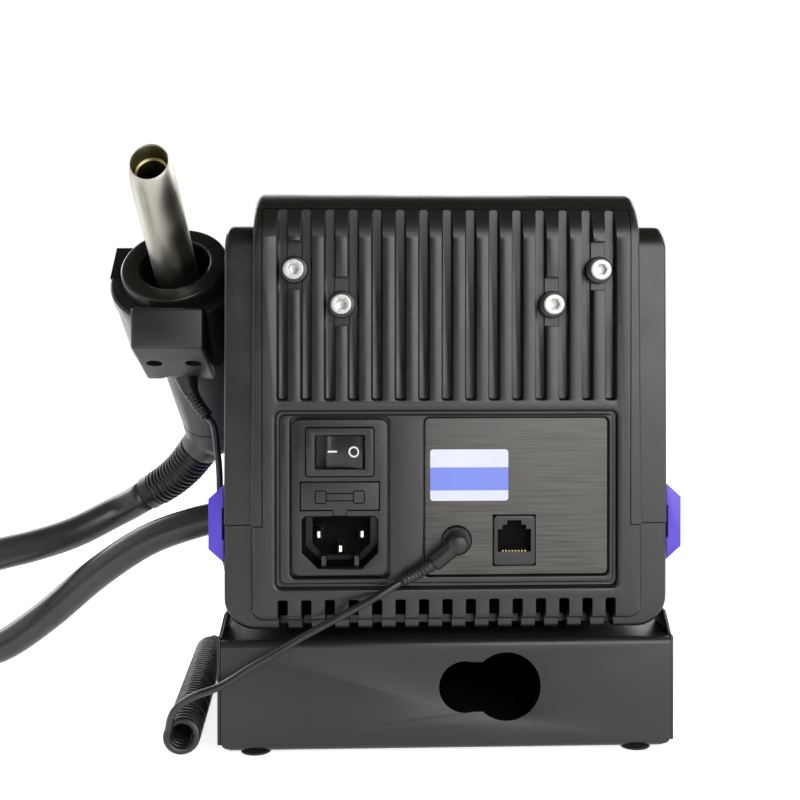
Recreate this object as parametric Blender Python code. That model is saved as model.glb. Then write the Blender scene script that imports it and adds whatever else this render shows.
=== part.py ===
"""Hot air rework station with its gun in a side cradle.

Units are metres, +Z is up, the rear face looks along +Y and the gun hangs on
the +X side. Every size is a named value below. Pieces are built in the
housing's own frame, whose X is 0 on the middle plane, whose Y is 0 on the
rear cover's outer face and whose Z is 0 on the bench. The empty called
station carries them all and puts the middle of the whole on the origin.
"""
import math

import bmesh
import bpy
from mathutils import Matrix, Vector

MM = 0.001

# Clearances
gap = 0.3 * MM
slide_gap = 0.35 * MM
seam = 0.3 * MM

# Base
base_overhang = 0.6 * MM
base_depth = 196.0 * MM
base_rear_y = -1.5 * MM
base_top_z = 35.8 * MM
base_skirt_z = 1.6 * MM
sheet = 1.0 * MM
sheet_bend = 2.2 * MM
tray_floor_z = 2.6 * MM
ear_rise = 7.6 * MM
ear_lean = 1.8 * MM
ear_length = 20.0 * MM
ear_inset = 3.0 * MM
foot_radius = 4.8 * MM
foot_inset_x = 10.0 * MM
foot_inset_y = 11.0 * MM
keyhole_z = 20.6 * MM
keyhole_big_x = -18.8 * MM
keyhole_big_radius = 10.9 * MM
keyhole_small_x = -5.6 * MM
keyhole_small_radius = 8.2 * MM
keyhole_flat = 7.9 * MM

# Housing shells
shell_width = 141.4 * MM
shell_draft = 0.5 * MM
shell_bottom_z = 38.6 * MM
parting_z = 72.0 * MM
shoulder_z = 166.4 * MM
spine_z = 176.0 * MM
shell_rear_y = -4.0 * MM
shell_length = 199.0 * MM
shell_wall = 2.5 * MM
bottom_corner = 10.0 * MM
shoulder_corner = 4.0 * MM
spine_corner = 4.0 * MM
standoff_radius = 6.0 * MM
standoff_x = 44.0 * MM
standoff_inset = 30.0 * MM

# Spine along the middle, and the ribbed back wall that stands in it
spine_step = 8.9 * MM
spine_draft = 1.0 * MM
spine_edge = 3.4 * MM
spine_lift = 3.6 * MM
shell_edge = 2.0 * MM
rim_width = 3.8 * MM
back_top_z = 172.0 * MM
back_edge = 3.2 * MM
groove_pitch = 7.4 * MM
groove_margin = 4.0 * MM
groove_width = 3.55 * MM
groove_depth = 3.2 * MM
groove_bottom_z = 111.3 * MM
vent_width = 3.45 * MM
vent_top_z = 48.5 * MM
vent_reach = 14.0 * MM
boss_radius = 4.3 * MM
boss_pocket_above = 9.2 * MM
boss_pocket_below = 7.0 * MM
outer_screw_grooves = 2
outer_screw_z = 152.7 * MM
inner_screw_grooves = 6
inner_screw_z = 141.8 * MM
screw_head_radius = 3.3 * MM
screw_head_height = 3.4 * MM
screw_shank_radius = 1.9 * MM
screw_shank_length = 6.0 * MM
screw_socket_radius = 1.75 * MM
screw_socket_depth = 2.0 * MM

# Rear panel recesses
panel_side = 2.8 * MM
panel_low_z = 51.3 * MM
panel_high_z = 109.4 * MM
panel_depth = 1.4 * MM
panel_corner = 2.6 * MM
pocket_depth = 2.4 * MM
pocket_corner = 1.6 * MM
pocket_margin = 0.9 * MM

# Power inlet module
inlet_side = 6.75 * MM
inlet_z = 80.75 * MM
inlet_width = 30.5 * MM
inlet_height = 49.9 * MM
inlet_flange = 2.0 * MM
inlet_body_width = 27.4 * MM
inlet_body_height = 46.6 * MM
inlet_body_depth = 27.0 * MM
bezel_width = 21.2 * MM
bezel_height = 15.2 * MM
bezel_rise = 0.9 * MM
bezel_z = 95.3 * MM
rocker_width = 15.3 * MM
rocker_height = 10.3 * MM
rocker_depth = 11.0 * MM
rocker_tilt = math.radians(7.0)
drawer_width = 24.6 * MM
drawer_height = 8.7 * MM
drawer_depth = 19.0 * MM
drawer_z = 81.35 * MM
drawer_tab_width = 4.0 * MM
drawer_tab_drop = 1.7 * MM
fuse_radius = 2.6 * MM
fuse_length = 20.0 * MM
socket_width = 24.5 * MM
socket_height = 17.0 * MM
socket_z = 66.7 * MM
socket_depth = 15.0 * MM
socket_chamfer = 5.0 * MM
pin_width = 2.2 * MM
pin_height = 4.0 * MM
pin_length = 9.5 * MM
pin_spread = 6.9 * MM
pin_rise = 2.3 * MM

# Connector plate and its sockets
plate_side = 4.05 * MM
plate_post = 10.8 * MM
plate_z = 81.0 * MM
plate_height = 49.8 * MM
plate_thick = 1.2 * MM
data_spread = 18.3 * MM
data_z = 67.0 * MM
data_width = 13.2 * MM
data_height = 15.8 * MM
data_depth = 14.0 * MM
data_opening_width = 9.8 * MM
data_opening_height = 7.4 * MM
jack_side = 10.15 * MM
jack_z = 67.0 * MM
jack_radius = 4.6 * MM
jack_bore = 1.95 * MM
jack_depth = 13.0 * MM
jack_rise = 1.0 * MM

# Side rails
rail_height = 24.9 * MM
rail_flat = 16.0 * MM
rail_rise = 5.2 * MM
rail_slot = 10.2 * MM
rail_slot_depth = 0.6 * MM
rail_inset = 3.0 * MM

# Hose gland on the +X side
gland_y = -105.0 * MM
gland_z = 60.0 * MM
gland_radius = 9.2 * MM
gland_bore = 4.5 * MM
gland_rise = 8.5 * MM
gland_tail = 9.0 * MM

# Gun, along its own axis from the guard ring's top plane
gun_reach = 22.1 * MM
gun_y = -44.0 * MM
gun_z = 156.9 * MM
gun_elevation = math.radians(44.5)
gun_lean = math.radians(3.4)
guard_radius = 18.5 * MM
guard_hole = 12.2 * MM
guard_thick = 5.0 * MM
guard_chamfer = 0.8 * MM
handle_length = 74.1 * MM
handle_wall = 2.0 * MM
handle_neck = 16.2 * MM
handle_waist = 13.2 * MM
handle_tail = 11.4 * MM
tube_length = 44.5 * MM
tube_root = 25.0 * MM
tube_radius = 7.5 * MM
tube_tip_radius = 6.9 * MM
tube_wall = 0.8 * MM
tube_bevel_angle = math.radians(20.0)
collar_depth = 20.0 * MM
collar_thick = 6.0 * MM
heater_length = 42.0 * MM
cap_reach = 7.3 * MM
cap_neck = 7.0 * MM

# Cradle
cradle_radius = 23.2 * MM
cradle_foot_radius = 21.6 * MM
cradle_length = 27.5 * MM
cradle_clear = 0.5 * MM
cradle_mouth = math.radians(104.0)
cradle_tip_z = 162.6 * MM
bracket_thick = 2.0 * MM
bracket_low_z = 112.0 * MM
bracket_high_z = 163.0 * MM
bracket_low_y = -76.0 * MM
bracket_high_y = -30.0 * MM
bracket_screw_radius = 3.6 * MM
bracket_screw_rise = 1.2 * MM
box_width = 24.0 * MM
box_reach = 21.3 * MM
box_rear_y = -25.0 * MM
box_front_y = -54.0 * MM
box_low_z = 127.7 * MM
box_front_z = 116.5 * MM
box_top_z = 141.2 * MM
box_hole_radius = 2.7 * MM
box_hole_spread = 6.6 * MM
post_radius = 6.0 * MM
post_x = 84.2 * MM
post_drop = 5.5 * MM

# Front
fascia_thick = 4.5 * MM
fascia_edge = 1.8 * MM
display_width = 74.0 * MM
display_height = 40.0 * MM
display_z = 134.0 * MM
display_thick = 2.0 * MM
button_width = 14.0 * MM
button_height = 7.0 * MM
button_z = 101.0 * MM
button_pitch = 26.0 * MM
button_rise = 2.4 * MM
button_count = 3
knob_radius = 13.5 * MM
knob_height = 14.0 * MM
knob_shaft = 3.0 * MM
knob_x = 30.0 * MM
knob_z = 70.0 * MM
knob_flutes = 18

# Inside
pump_width = 58.0 * MM
pump_length = 84.0 * MM
pump_height = 52.0 * MM
pump_side = 44.7 * MM
pump_y = -110.0 * MM
pad_thick = 3.0 * MM
pump_nozzle_radius = 5.0 * MM
pump_nozzle_length = 8.0 * MM
pump_nozzle_rise = 10.0 * MM
board_thick = 1.6 * MM
supply_width = 44.0 * MM
supply_length = 60.0 * MM
supply_height = 30.0 * MM
supply_x = 32.0 * MM
supply_y = -72.0 * MM

# Cords
hose_radius = 6.25 * MM
boot_radius = 8.0 * MM
boot_end_radius = 7.2 * MM
boot_ribs = 10
cord_radius = 1.2 * MM
curl_radius = 5.9 * MM
coil_x = 262.0 * MM
coil_y = -45.0 * MM
coil_inner = 62.0 * MM
coil_outer = 76.0 * MM
plug_radius = 3.75 * MM
plug_barrel = 2.8 * MM
plug_length = 8.5 * MM

round_sides = 24
small_sides = 12


# Derived planes
shell_front_y = shell_rear_y - shell_length
fascia_back_y = shell_front_y - seam
fascia_front_y = fascia_back_y - fascia_thick
base_front_y = base_rear_y - base_depth
floor_z = shell_bottom_z + shell_wall
back_thick = shell_wall - shell_rear_y
panel_y = -panel_depth
pocket_y = -panel_depth - pocket_depth
wall_x = shell_width / 2
base_width = shell_width + 2 * base_overhang
spine_width = shell_width - 2 * spine_step
spine_low_z = shell_bottom_z + spine_lift
back_width = spine_width - 2 * rim_width
groove_count = 2 * int((back_width / 2 - groove_margin) / groove_pitch) + 1
panel_high_x = back_width / 2 - panel_side
panel_low_x = -panel_high_x
inlet_x = panel_high_x - inlet_side - inlet_width / 2
plate_high_x = inlet_x - inlet_width / 2 - plate_post
plate_low_x = panel_low_x + plate_side
plate_width = plate_high_x - plate_low_x
plate_x = (plate_high_x + plate_low_x) / 2
jack_x = plate_high_x - jack_side
data_x = jack_x - data_spread
cradle_wall_x = wall_x + 2 * gap + bracket_thick
gun_x = wall_x + gun_reach
box_x = wall_x + box_reach
pump_x = pump_side - wall_x

# The middle of the whole without its cords, which the station empty undoes
boot_reach_x = 120.54 * MM
middle_x = (boot_reach_x - wall_x - rail_rise) / 2
middle_y = (fascia_front_y - gap - knob_height + gap + screw_head_height) / 2


def clear_scene():
    """Remove every object of the file that the script runs in."""
    for item in list(bpy.data.objects):
        bpy.data.objects.remove(item)


def material(name, colour, roughness, metallic=0.0):
    """A Principled material of one colour."""
    made = bpy.data.materials.get(name)
    if made:
        return made
    made = bpy.data.materials.new(name)
    made.use_nodes = True
    shader = made.node_tree.nodes["Principled BSDF"]
    shader.inputs["Base Color"].default_value = (*colour, 1.0)
    shader.inputs["Roughness"].default_value = roughness
    shader.inputs["Metallic"].default_value = metallic
    made.diffuse_color = (*colour, 1.0)
    return made


def black_plastic():
    return material("black_plastic", (0.016, 0.016, 0.017), 0.42)


def dark_plastic():
    return material("dark_plastic", (0.05, 0.05, 0.052), 0.5)


def black_metal():
    return material("black_metal", (0.014, 0.014, 0.015), 0.38)


def rail_blue():
    return material("rail_blue", (0.11, 0.07, 0.62), 0.38)


def steel():
    return material("steel", (0.62, 0.61, 0.57), 0.28, 1.0)


def screw_steel():
    return material("screw_steel", (0.72, 0.72, 0.72), 0.25, 1.0)


def brass():
    return material("brass", (0.72, 0.55, 0.25), 0.3, 1.0)


def rubber():
    return material("rubber", (0.018, 0.018, 0.018), 0.6)


def brushed_dark():
    return material("brushed_dark", (0.06, 0.058, 0.055), 0.36, 0.8)


def window():
    return material("window", (0.01, 0.012, 0.02), 0.08)


def ceramic():
    return material("ceramic", (0.74, 0.70, 0.62), 0.6)


def board_green():
    return material("board_green", (0.02, 0.16, 0.07), 0.45)


def from_bmesh(name, mesh_maker, look, parent=None, place=None):
    """Turn a bmesh into an object with its material and its parent."""
    bmesh.ops.remove_doubles(mesh_maker, verts=mesh_maker.verts, dist=1e-7)
    bmesh.ops.recalc_face_normals(mesh_maker, faces=mesh_maker.faces)
    mesh = bpy.data.meshes.new(name)
    mesh_maker.to_mesh(mesh)
    mesh_maker.free()
    made = bpy.data.objects.new(name, mesh)
    bpy.context.collection.objects.link(made)
    if look:
        mesh.materials.append(look)
    if place is not None:
        made.matrix_world = place
    if parent:
        made.parent = parent
    return made


def shade(item, angle=math.radians(32)):
    """Shade a round piece smooth and keep its sharp edges."""
    item.data.shade_smooth()
    item.data.set_sharp_from_angle(angle=angle)
    return item


def combine(target, tool, operation):
    """Join or cut the target with the tool, and remove the tool."""
    step = target.modifiers.new(operation.lower(), "BOOLEAN")
    step.operation = operation
    step.solver = "EXACT"
    step.object = tool
    graph = bpy.context.evaluated_depsgraph_get()
    result = bpy.data.meshes.new_from_object(target.evaluated_get(graph))
    target.modifiers.clear()
    target.data = result
    bpy.data.objects.remove(tool)
    return target


def cut(target, tool):
    return combine(target, tool, "DIFFERENCE")


def join(target, tool):
    return combine(target, tool, "UNION")


def prism(points, low, high, axis):
    """A bmesh of a closed outline pushed from low to high along an axis.

    Outline points are (x, z) for axis Y, (y, z) for axis X, (x, y) for Z.
    """
    maker = bmesh.new()
    placed = {
        "X": lambda a, b, along: (along, a, b),
        "Y": lambda a, b, along: (a, along, b),
        "Z": lambda a, b, along: (a, b, along),
    }[axis]
    near = [maker.verts.new(placed(a, b, low)) for a, b in points]
    far = [maker.verts.new(placed(a, b, high)) for a, b in points]
    maker.faces.new(near)
    maker.faces.new(far[::-1])
    count = len(points)
    for index in range(count):
        after = (index + 1) % count
        maker.faces.new((near[index], far[index], far[after], near[after]))
    return maker


def block(x_low, x_high, y_low, y_high, z_low, z_high):
    outline = [(x_low, z_low), (x_high, z_low), (x_high, z_high), (x_low, z_high)]
    return prism(outline, y_low, y_high, "Y")


def arc(centre_a, centre_b, radius, start, end, steps):
    """Points on an arc, with both ends, angles in degrees."""
    made = []
    for index in range(steps + 1):
        angle = math.radians(start + (end - start) * index / steps)
        made.append((centre_a + radius * math.cos(angle), centre_b + radius * math.sin(angle)))
    return made


def rounded_box_outline(low_a, high_a, low_b, high_b, radius, steps=4):
    """A rectangle with round corners, as outline points."""
    points = arc(high_a - radius, low_b + radius, radius, -90, 0, steps)
    points += arc(high_a - radius, high_b - radius, radius, 0, 90, steps)
    points += arc(low_a + radius, high_b - radius, radius, 90, 180, steps)
    points += arc(low_a + radius, low_b + radius, radius, 180, 270, steps)
    return points


def circle_outline(centre_a, centre_b, radius, sides=round_sides):
    return arc(centre_a, centre_b, radius, 0, 360 - 360 / sides, sides - 1)


def turned(profile, sides=round_sides, shape=None):
    """A bmesh turned about Z from a closed loop of (radius, height) points.

    Points at radius 0 close on the axis. The optional shape moves a point.
    """
    maker = bmesh.new()
    rings = []
    for radius, height in profile:
        if radius == 0:
            rings.append([maker.verts.new((0, 0, height))] * sides)
            continue
        ring = []
        for index in range(sides):
            angle = math.tau * index / sides
            point = Vector((radius * math.cos(angle), radius * math.sin(angle), height))
            ring.append(maker.verts.new(shape(point) if shape else point))
        rings.append(ring)
    count = len(rings)
    for index in range(count):
        lower, upper = rings[index], rings[(index + 1) % count]
        for side in range(sides):
            after = (side + 1) % sides
            corners = [lower[side], lower[after], upper[after], upper[side]]
            unique = list(dict.fromkeys(corners))
            if len(unique) > 2:
                maker.faces.new(unique)
    return maker


def aimed(point, direction):
    """A matrix that puts local +Z along a direction at a point."""
    turn = Vector(direction).to_track_quat("Z", "Y").to_matrix().to_4x4()
    return Matrix.Translation(Vector(point)) @ turn


def transform(maker, matrix):
    bmesh.ops.transform(maker, matrix=matrix, verts=maker.verts)
    return maker


def disc(radius, low, high, sides=round_sides):
    """A plain round bar along Z."""
    return turned([(0, low), (radius, low), (radius, high), (0, high)], sides)


def swept(points, radii, sides):
    """A bmesh of round sections of the given radii along a path."""
    maker = bmesh.new()
    path = [Vector(point) for point in points]
    tangent = (path[1] - path[0]).normalized()
    side_way = tangent.orthogonal().normalized()
    rings = []
    for index, centre in enumerate(path):
        before = path[max(index - 1, 0)]
        after = path[min(index + 1, len(path) - 1)]
        tangent = (after - before).normalized()
        side_way = (side_way - tangent * side_way.dot(tangent)).normalized()
        other_way = tangent.cross(side_way)
        ring = []
        for side in range(sides):
            angle = math.tau * side / sides
            way = side_way * math.cos(angle) + other_way * math.sin(angle)
            ring.append(maker.verts.new(centre + way * radii[index]))
        rings.append(ring)
    for lower, upper in zip(rings, rings[1:]):
        for side in range(sides):
            after = (side + 1) % sides
            maker.faces.new((lower[side], lower[after], upper[after], upper[side]))
    maker.faces.new(rings[0][::-1])
    maker.faces.new(rings[-1])
    return maker


def smooth_route(points, spacing):
    """Evenly spaced points of a smooth curve through the route's points."""
    knots = [Vector(point) for point in points]
    knots = [knots[0] * 2 - knots[1]] + knots + [knots[-1] * 2 - knots[-2]]
    fine = []
    for first, second, third, fourth in zip(knots, knots[1:], knots[2:], knots[3:]):
        for step in range(24):
            t = step / 24
            fine.append(0.5 * (2 * second + (third - first) * t
                               + (2 * first - 5 * second + 4 * third - fourth) * t * t
                               + (3 * second - first - 3 * third + fourth) * t ** 3))
    fine.append(knots[-2])
    travelled = [0.0]
    for before, after in zip(fine, fine[1:]):
        travelled.append(travelled[-1] + (after - before).length)
    count = max(2, round(travelled[-1] / spacing))
    even = []
    index = 0
    for step in range(count + 1):
        target = travelled[-1] * step / count
        while index < len(fine) - 2 and travelled[index + 1] < target:
            index += 1
        part = (target - travelled[index]) / (travelled[index + 1] - travelled[index])
        even.append(fine[index].lerp(fine[index + 1], min(part, 1.0)))
    return even


def cord_tube(name, points, radius, look, parent, resolution):
    """A cord as a curve with a round bevel and filled ends."""
    curve = bpy.data.curves.new(name, "CURVE")
    curve.dimensions = "3D"
    curve.bevel_depth = radius
    curve.bevel_resolution = resolution
    curve.render_resolution_u = 0
    curve.use_fill_caps = True
    spline = curve.splines.new("POLY")
    spline.points.add(len(points) - 1)
    for knot, point in zip(spline.points, points):
        knot.co = (*point, 1.0)
    curve.materials.append(look)
    made = bpy.data.objects.new(name, curve)
    bpy.context.collection.objects.link(made)
    made.parent = parent
    return made


def make_empty(name, matrix, parent=None):
    made = bpy.data.objects.new(name, None)
    bpy.context.collection.objects.link(made)
    made.parent = parent
    made.matrix_local = matrix
    return made


def gun_matrix():
    """The gun's own frame: +Z runs along the gun towards the nozzle."""
    along = Vector((math.sin(gun_lean), math.cos(gun_lean) * math.cos(gun_elevation),
                    math.cos(gun_lean) * math.sin(gun_elevation)))
    across = (Vector((1, 0, 0)) - along * along.x).normalized()
    third = along.cross(across)
    turn = Matrix((across, third, along)).transposed().to_4x4()
    return Matrix.Translation((gun_x, gun_y, gun_z)) @ turn


# Housing

def side_x(z, inset):
    """Half width of the shell at a height; it narrows a little upwards."""
    share = max(z - parting_z, 0.0) / (shoulder_z - parting_z)
    return wall_x - inset - shell_draft * share


def spine_x(z, inset):
    """Half width of the spine at a height; it narrows a little upwards."""
    share = max(z - parting_z, 0.0) / (spine_z - parting_z)
    return spine_width / 2 - inset - spine_draft * share


def upper_outline(inset, low):
    """Outline of the upper shell, bottom right round to bottom left."""
    shoulder = shoulder_z - inset
    spine = spine_z - inset
    corner = max(shoulder_corner - inset, shoulder_corner / 4)
    top_corner = max(spine_corner - inset, spine_corner / 4)
    right = [(side_x(low, inset), low)]
    right += arc(side_x(shoulder - corner, inset) - corner, shoulder - corner, corner, 0, 90, 4)
    right += [(spine_x(shoulder, inset), shoulder)]
    right += arc(spine_x(spine - top_corner, inset) - top_corner, spine - top_corner, top_corner,
                 0, 90, 4)
    left = [(-a, b) for a, b in reversed(right)]
    return right + left


def lower_outline(inset, high):
    """Outline of the lower shell, top left round by the bottom to top right."""
    half = wall_x - inset
    bottom = shell_bottom_z + inset
    corner = max(bottom_corner - inset, bottom_corner / 4)
    left = [(-half, high)] + arc(-half + corner, bottom + corner, corner, 180, 270, 6)
    right = [(-a, b) for a, b in reversed(left)]
    return left + right


def stack(rings, axis_points):
    """A bmesh of closed outlines in XZ that follow one another along Y."""
    maker = bmesh.new()
    made = []
    for outline, y in zip(rings, axis_points):
        made.append([maker.verts.new((x, y, z)) for x, z in outline])
    maker.faces.new(made[0])
    maker.faces.new(made[-1][::-1])
    count = len(made[0])
    for lower, upper in zip(made, made[1:]):
        for index in range(count):
            after = (index + 1) % count
            maker.faces.new((lower[index], upper[index], upper[after], lower[after]))
    return maker


def round_ended(outline_at, front_y, rear_y, edge):
    """Push an outline from front to rear and round its rear edge."""
    rings, places = [outline_at(0)], [front_y]
    for step in range(4):
        angle = math.radians(30 * step)
        rings.append(outline_at(edge * (1 - math.cos(angle))))
        places.append(rear_y - edge + edge * math.sin(angle))
    return stack(rings, places)


def spine_outline(inset, low):
    """The raised spine seen from the rear, with round top corners."""
    top = spine_z - inset
    corner = max(spine_corner - inset, spine_corner / 4)
    right = [(spine_x(low, inset), low)]
    right += arc(spine_x(top - corner, inset) - corner, top - corner, corner, 0, 90, 4)
    return right + [(-a, b) for a, b in reversed(right)]


def upper_shell(station):
    """Top, sides and the rim that frames the ribbed back wall."""
    low = parting_z + seam / 2
    body = round_ended(lambda inset: upper_outline(inset, low), shell_front_y, shell_rear_y, shell_edge)
    shell = from_bmesh("upper_shell", body, black_plastic())
    rim = round_ended(lambda inset: spine_outline(inset, low), -back_thick, 0, spine_edge)
    join(shell, from_bmesh("rim", rim, None))
    inside = prism(upper_outline(shell_wall, low - 1 * MM), -back_thick, shell_front_y - 1 * MM, "Y")
    cut(shell, from_bmesh("inside", inside, None))
    half = back_width / 2 + seam
    window = block(-half, half, -back_thick - MM, MM, low - MM, back_top_z + seam)
    cut(shell, from_bmesh("window", window, None))
    shade(shell)
    shell.parent = station


def gland_hole(radius, depth):
    """A round cutter along X at the gland."""
    maker = disc(radius, -depth, depth)
    return transform(maker, aimed((wall_x, gland_y, gland_z), (1, 0, 0)))


def low_spine_outline(inset, high):
    """The spine's lower end, which belongs to the lower shell."""
    half, low = spine_width / 2 - inset, spine_low_z + inset
    corner = max(spine_corner - inset, spine_corner / 4)
    left = [(-half, high)] + arc(-half + corner, low + corner, corner, 180, 270, 4)
    return left + [(-a, b) for a, b in reversed(left)]


def back_wall():
    """The blank of the ribbed wall, with a round top edge."""
    top = back_top_z
    section = [(0, parting_z - MM), (0, top - back_edge)]
    section += arc(-back_edge, top - back_edge, back_edge, 0, 90, 3)[1:]
    section += [(-back_thick, top), (-back_thick, parting_z - MM)]
    return prism(section, -back_width / 2, back_width / 2, "X")


def lower_shell(station):
    """Bottom of the housing in one moulding with the ribbed back wall."""
    high = parting_z - seam / 2
    body = round_ended(lambda inset: lower_outline(inset, high), shell_front_y, shell_rear_y, shell_edge)
    shell = from_bmesh("lower_shell", body, black_plastic())
    rim = round_ended(lambda inset: low_spine_outline(inset, high), -back_thick, 0, spine_edge * 0.6)
    join(shell, from_bmesh("rim", rim, None))
    inside = prism(lower_outline(shell_wall, high + 1 * MM), -back_thick, shell_front_y - 1 * MM, "Y")
    cut(shell, from_bmesh("inside", inside, None))
    join(shell, from_bmesh("back_wall", back_wall(), None))
    shape_back(shell)
    neck = gland_radius * 0.72 + gap
    cut(shell, from_bmesh("gland_cut", gland_hole(neck, 6 * MM), None))
    for x in (-standoff_x, standoff_x):
        for y in (shell_rear_y - standoff_inset, shell_front_y + standoff_inset):
            low = base_top_z + gap
            bar = transform(disc(standoff_radius, low, shell_bottom_z + shell_wall / 2, small_sides),
                            Matrix.Translation((x, y, 0)))
            join(shell, from_bmesh("standoff", bar, None))
    shade(shell)
    shell.parent = station


def groove_x(index):
    return (index - (groove_count - 1) / 2) * groove_pitch


def groove_outline(centre):
    """A groove with a round lower end."""
    half = groove_width / 2
    top = back_top_z + MM
    return ([(centre + half, top), (centre - half, top)]
            + arc(centre, groove_bottom_z + half, half, 180, 360, 6))


def screw_places():
    """Middles of the four cover screws as (name, x, z)."""
    outer = (groove_count - outer_screw_grooves) / 2 * groove_pitch
    inner = (groove_count - inner_screw_grooves) / 2 * groove_pitch
    return [
        ("cover_screw_1", outer, outer_screw_z),
        ("cover_screw_2", inner, inner_screw_z),
        ("cover_screw_3", -inner, inner_screw_z),
        ("cover_screw_4", -outer, outer_screw_z),
    ]


def shape_back(cover):
    """Grooves, vents, screw bosses and recesses of the back wall."""
    for index in range(groove_count):
        slot = prism(groove_outline(groove_x(index)), -groove_depth, 1 * MM, "Y")
        cut(cover, from_bmesh("groove", slot, None))
        centre = groove_x(index)
        vent = block(centre - vent_width / 2, centre + vent_width / 2, -vent_reach, MM,
                     shell_bottom_z - MM, vent_top_z)
        cut(cover, from_bmesh("vent", vent, None))
    rib = groove_pitch - groove_width
    for _, x, z in screw_places():
        pocket = block(x - rib / 2 - MM / 2, x + rib / 2 + MM / 2, -groove_depth, MM,
                       z - boss_pocket_below, z + boss_pocket_above)
        cut(cover, from_bmesh("boss_pocket", pocket, None))
        boss = transform(disc(boss_radius, -groove_depth - MM / 2, 0), aimed((x, 0, z), (0, 1, 0)))
        join(cover, from_bmesh("boss", boss, None))
        hole = transform(disc(screw_shank_radius + gap, -back_thick - MM, MM, small_sides),
                         aimed((x, 0, z), (0, 1, 0)))
        cut(cover, from_bmesh("screw_hole", hole, None))
    panel = rounded_box_outline(panel_low_x, panel_high_x, panel_low_z, panel_high_z, panel_corner)
    cut(cover, from_bmesh("panel", prism(panel, panel_y, MM, "Y"), None))
    for x, z, width, height in ((inlet_x, inlet_z, inlet_width, inlet_height),
                                (plate_x, plate_z, plate_width, plate_height)):
        half_w = width / 2 + pocket_margin
        half_h = height / 2 + pocket_margin
        pocket = rounded_box_outline(x - half_w, x + half_w, z - half_h, z + half_h, pocket_corner)
        cut(cover, from_bmesh("pocket", prism(pocket, pocket_y, MM, "Y"), None))
    half_w = inlet_body_width / 2 + gap
    half_h = inlet_body_height / 2 + gap
    hole = block(inlet_x - half_w, inlet_x + half_w, -back_thick - MM, MM,
                 inlet_z - half_h, inlet_z + half_h)
    cut(cover, from_bmesh("inlet_hole", hole, None))
    hole = block(data_x - data_width / 2 - gap, data_x + data_width / 2 + gap, -back_thick - MM, MM,
                 data_z - data_height / 2 - gap, data_z + data_height / 2 + gap)
    cut(cover, from_bmesh("data_hole", hole, None))
    hole = transform(disc(jack_radius + gap, -back_thick - MM, MM),
                     aimed((jack_x, 0, jack_z), (0, 1, 0)))
    cut(cover, from_bmesh("jack_hole", hole, None))


def cap_screw(name, x, y, z, direction, station):
    """A socket head cap screw whose head stands on the plane at y."""
    low = gap
    high = gap + screw_head_height
    ease = 0.5 * MM
    profile = [(0, -screw_shank_length), (screw_shank_radius, -screw_shank_length),
               (screw_shank_radius, low), (screw_head_radius, low), (screw_head_radius, high - ease),
               (screw_head_radius - ease, high), (0, high)]
    screw = from_bmesh(name, turned(profile, 18), screw_steel())
    socket = disc(screw_socket_radius, high - screw_socket_depth, high + MM, 6)
    cut(screw, from_bmesh("hex", socket, None))
    shade(screw)
    screw.matrix_world = aimed((x, y, z), direction)
    screw.parent = station


def side_rail(name, side, station):
    """A violet-blue rail with a slot behind its middle."""
    inner = side * (wall_x + gap)
    outer = side * (wall_x + rail_rise)
    middle = parting_z
    half, flat, slot = rail_height / 2, rail_flat / 2, rail_slot / 2
    deep = inner + side * rail_slot_depth
    outline = [(inner, middle - half), (outer, middle - flat), (outer, middle + flat),
               (inner, middle + half), (inner, middle + slot), (deep, middle + slot),
               (deep, middle - slot), (inner, middle - slot)]
    rail = from_bmesh(name, prism(outline, shell_rear_y - rail_inset, shell_front_y + rail_inset, "Y"),
                      rail_blue())
    if side > 0:
        cut(rail, from_bmesh("gland_room", gland_hole(gland_radius + gap, 12 * MM), None))
    rail.parent = station


# Base

def base_cover(station):
    """Rear, top and front of the base, bent from one sheet."""
    def section(inset):
        radius = max(sheet_bend - inset, sheet_bend / 3)
        rear, front, top = base_rear_y - inset, base_front_y + inset, base_top_z - inset
        return ([(rear, base_skirt_z)] + arc(rear - radius, top - radius, radius, 0, 90, 4)
                + arc(front + radius, top - radius, radius, 90, 180, 4) + [(front, base_skirt_z)])
    outline = section(0) + section(sheet)[::-1]
    cover = from_bmesh("base_cover", prism(outline, -base_width / 2, base_width / 2, "X"),
                       black_metal())
    for x, radius in ((keyhole_big_x, keyhole_big_radius), (keyhole_small_x, keyhole_small_radius)):
        hole = transform(disc(radius, -10 * MM, 10 * MM, 28),
                         aimed((x, base_rear_y, keyhole_z), (0, 1, 0)))
        cut(cover, from_bmesh("keyhole_round", hole, None))
    bridge = block(keyhole_big_x, keyhole_small_x, base_rear_y - 10 * MM, base_rear_y + 10 * MM,
                   keyhole_z - keyhole_flat, keyhole_z + keyhole_flat)
    cut(cover, from_bmesh("keyhole_bridge", bridge, None))
    shade(cover)
    cover.parent = station


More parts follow.
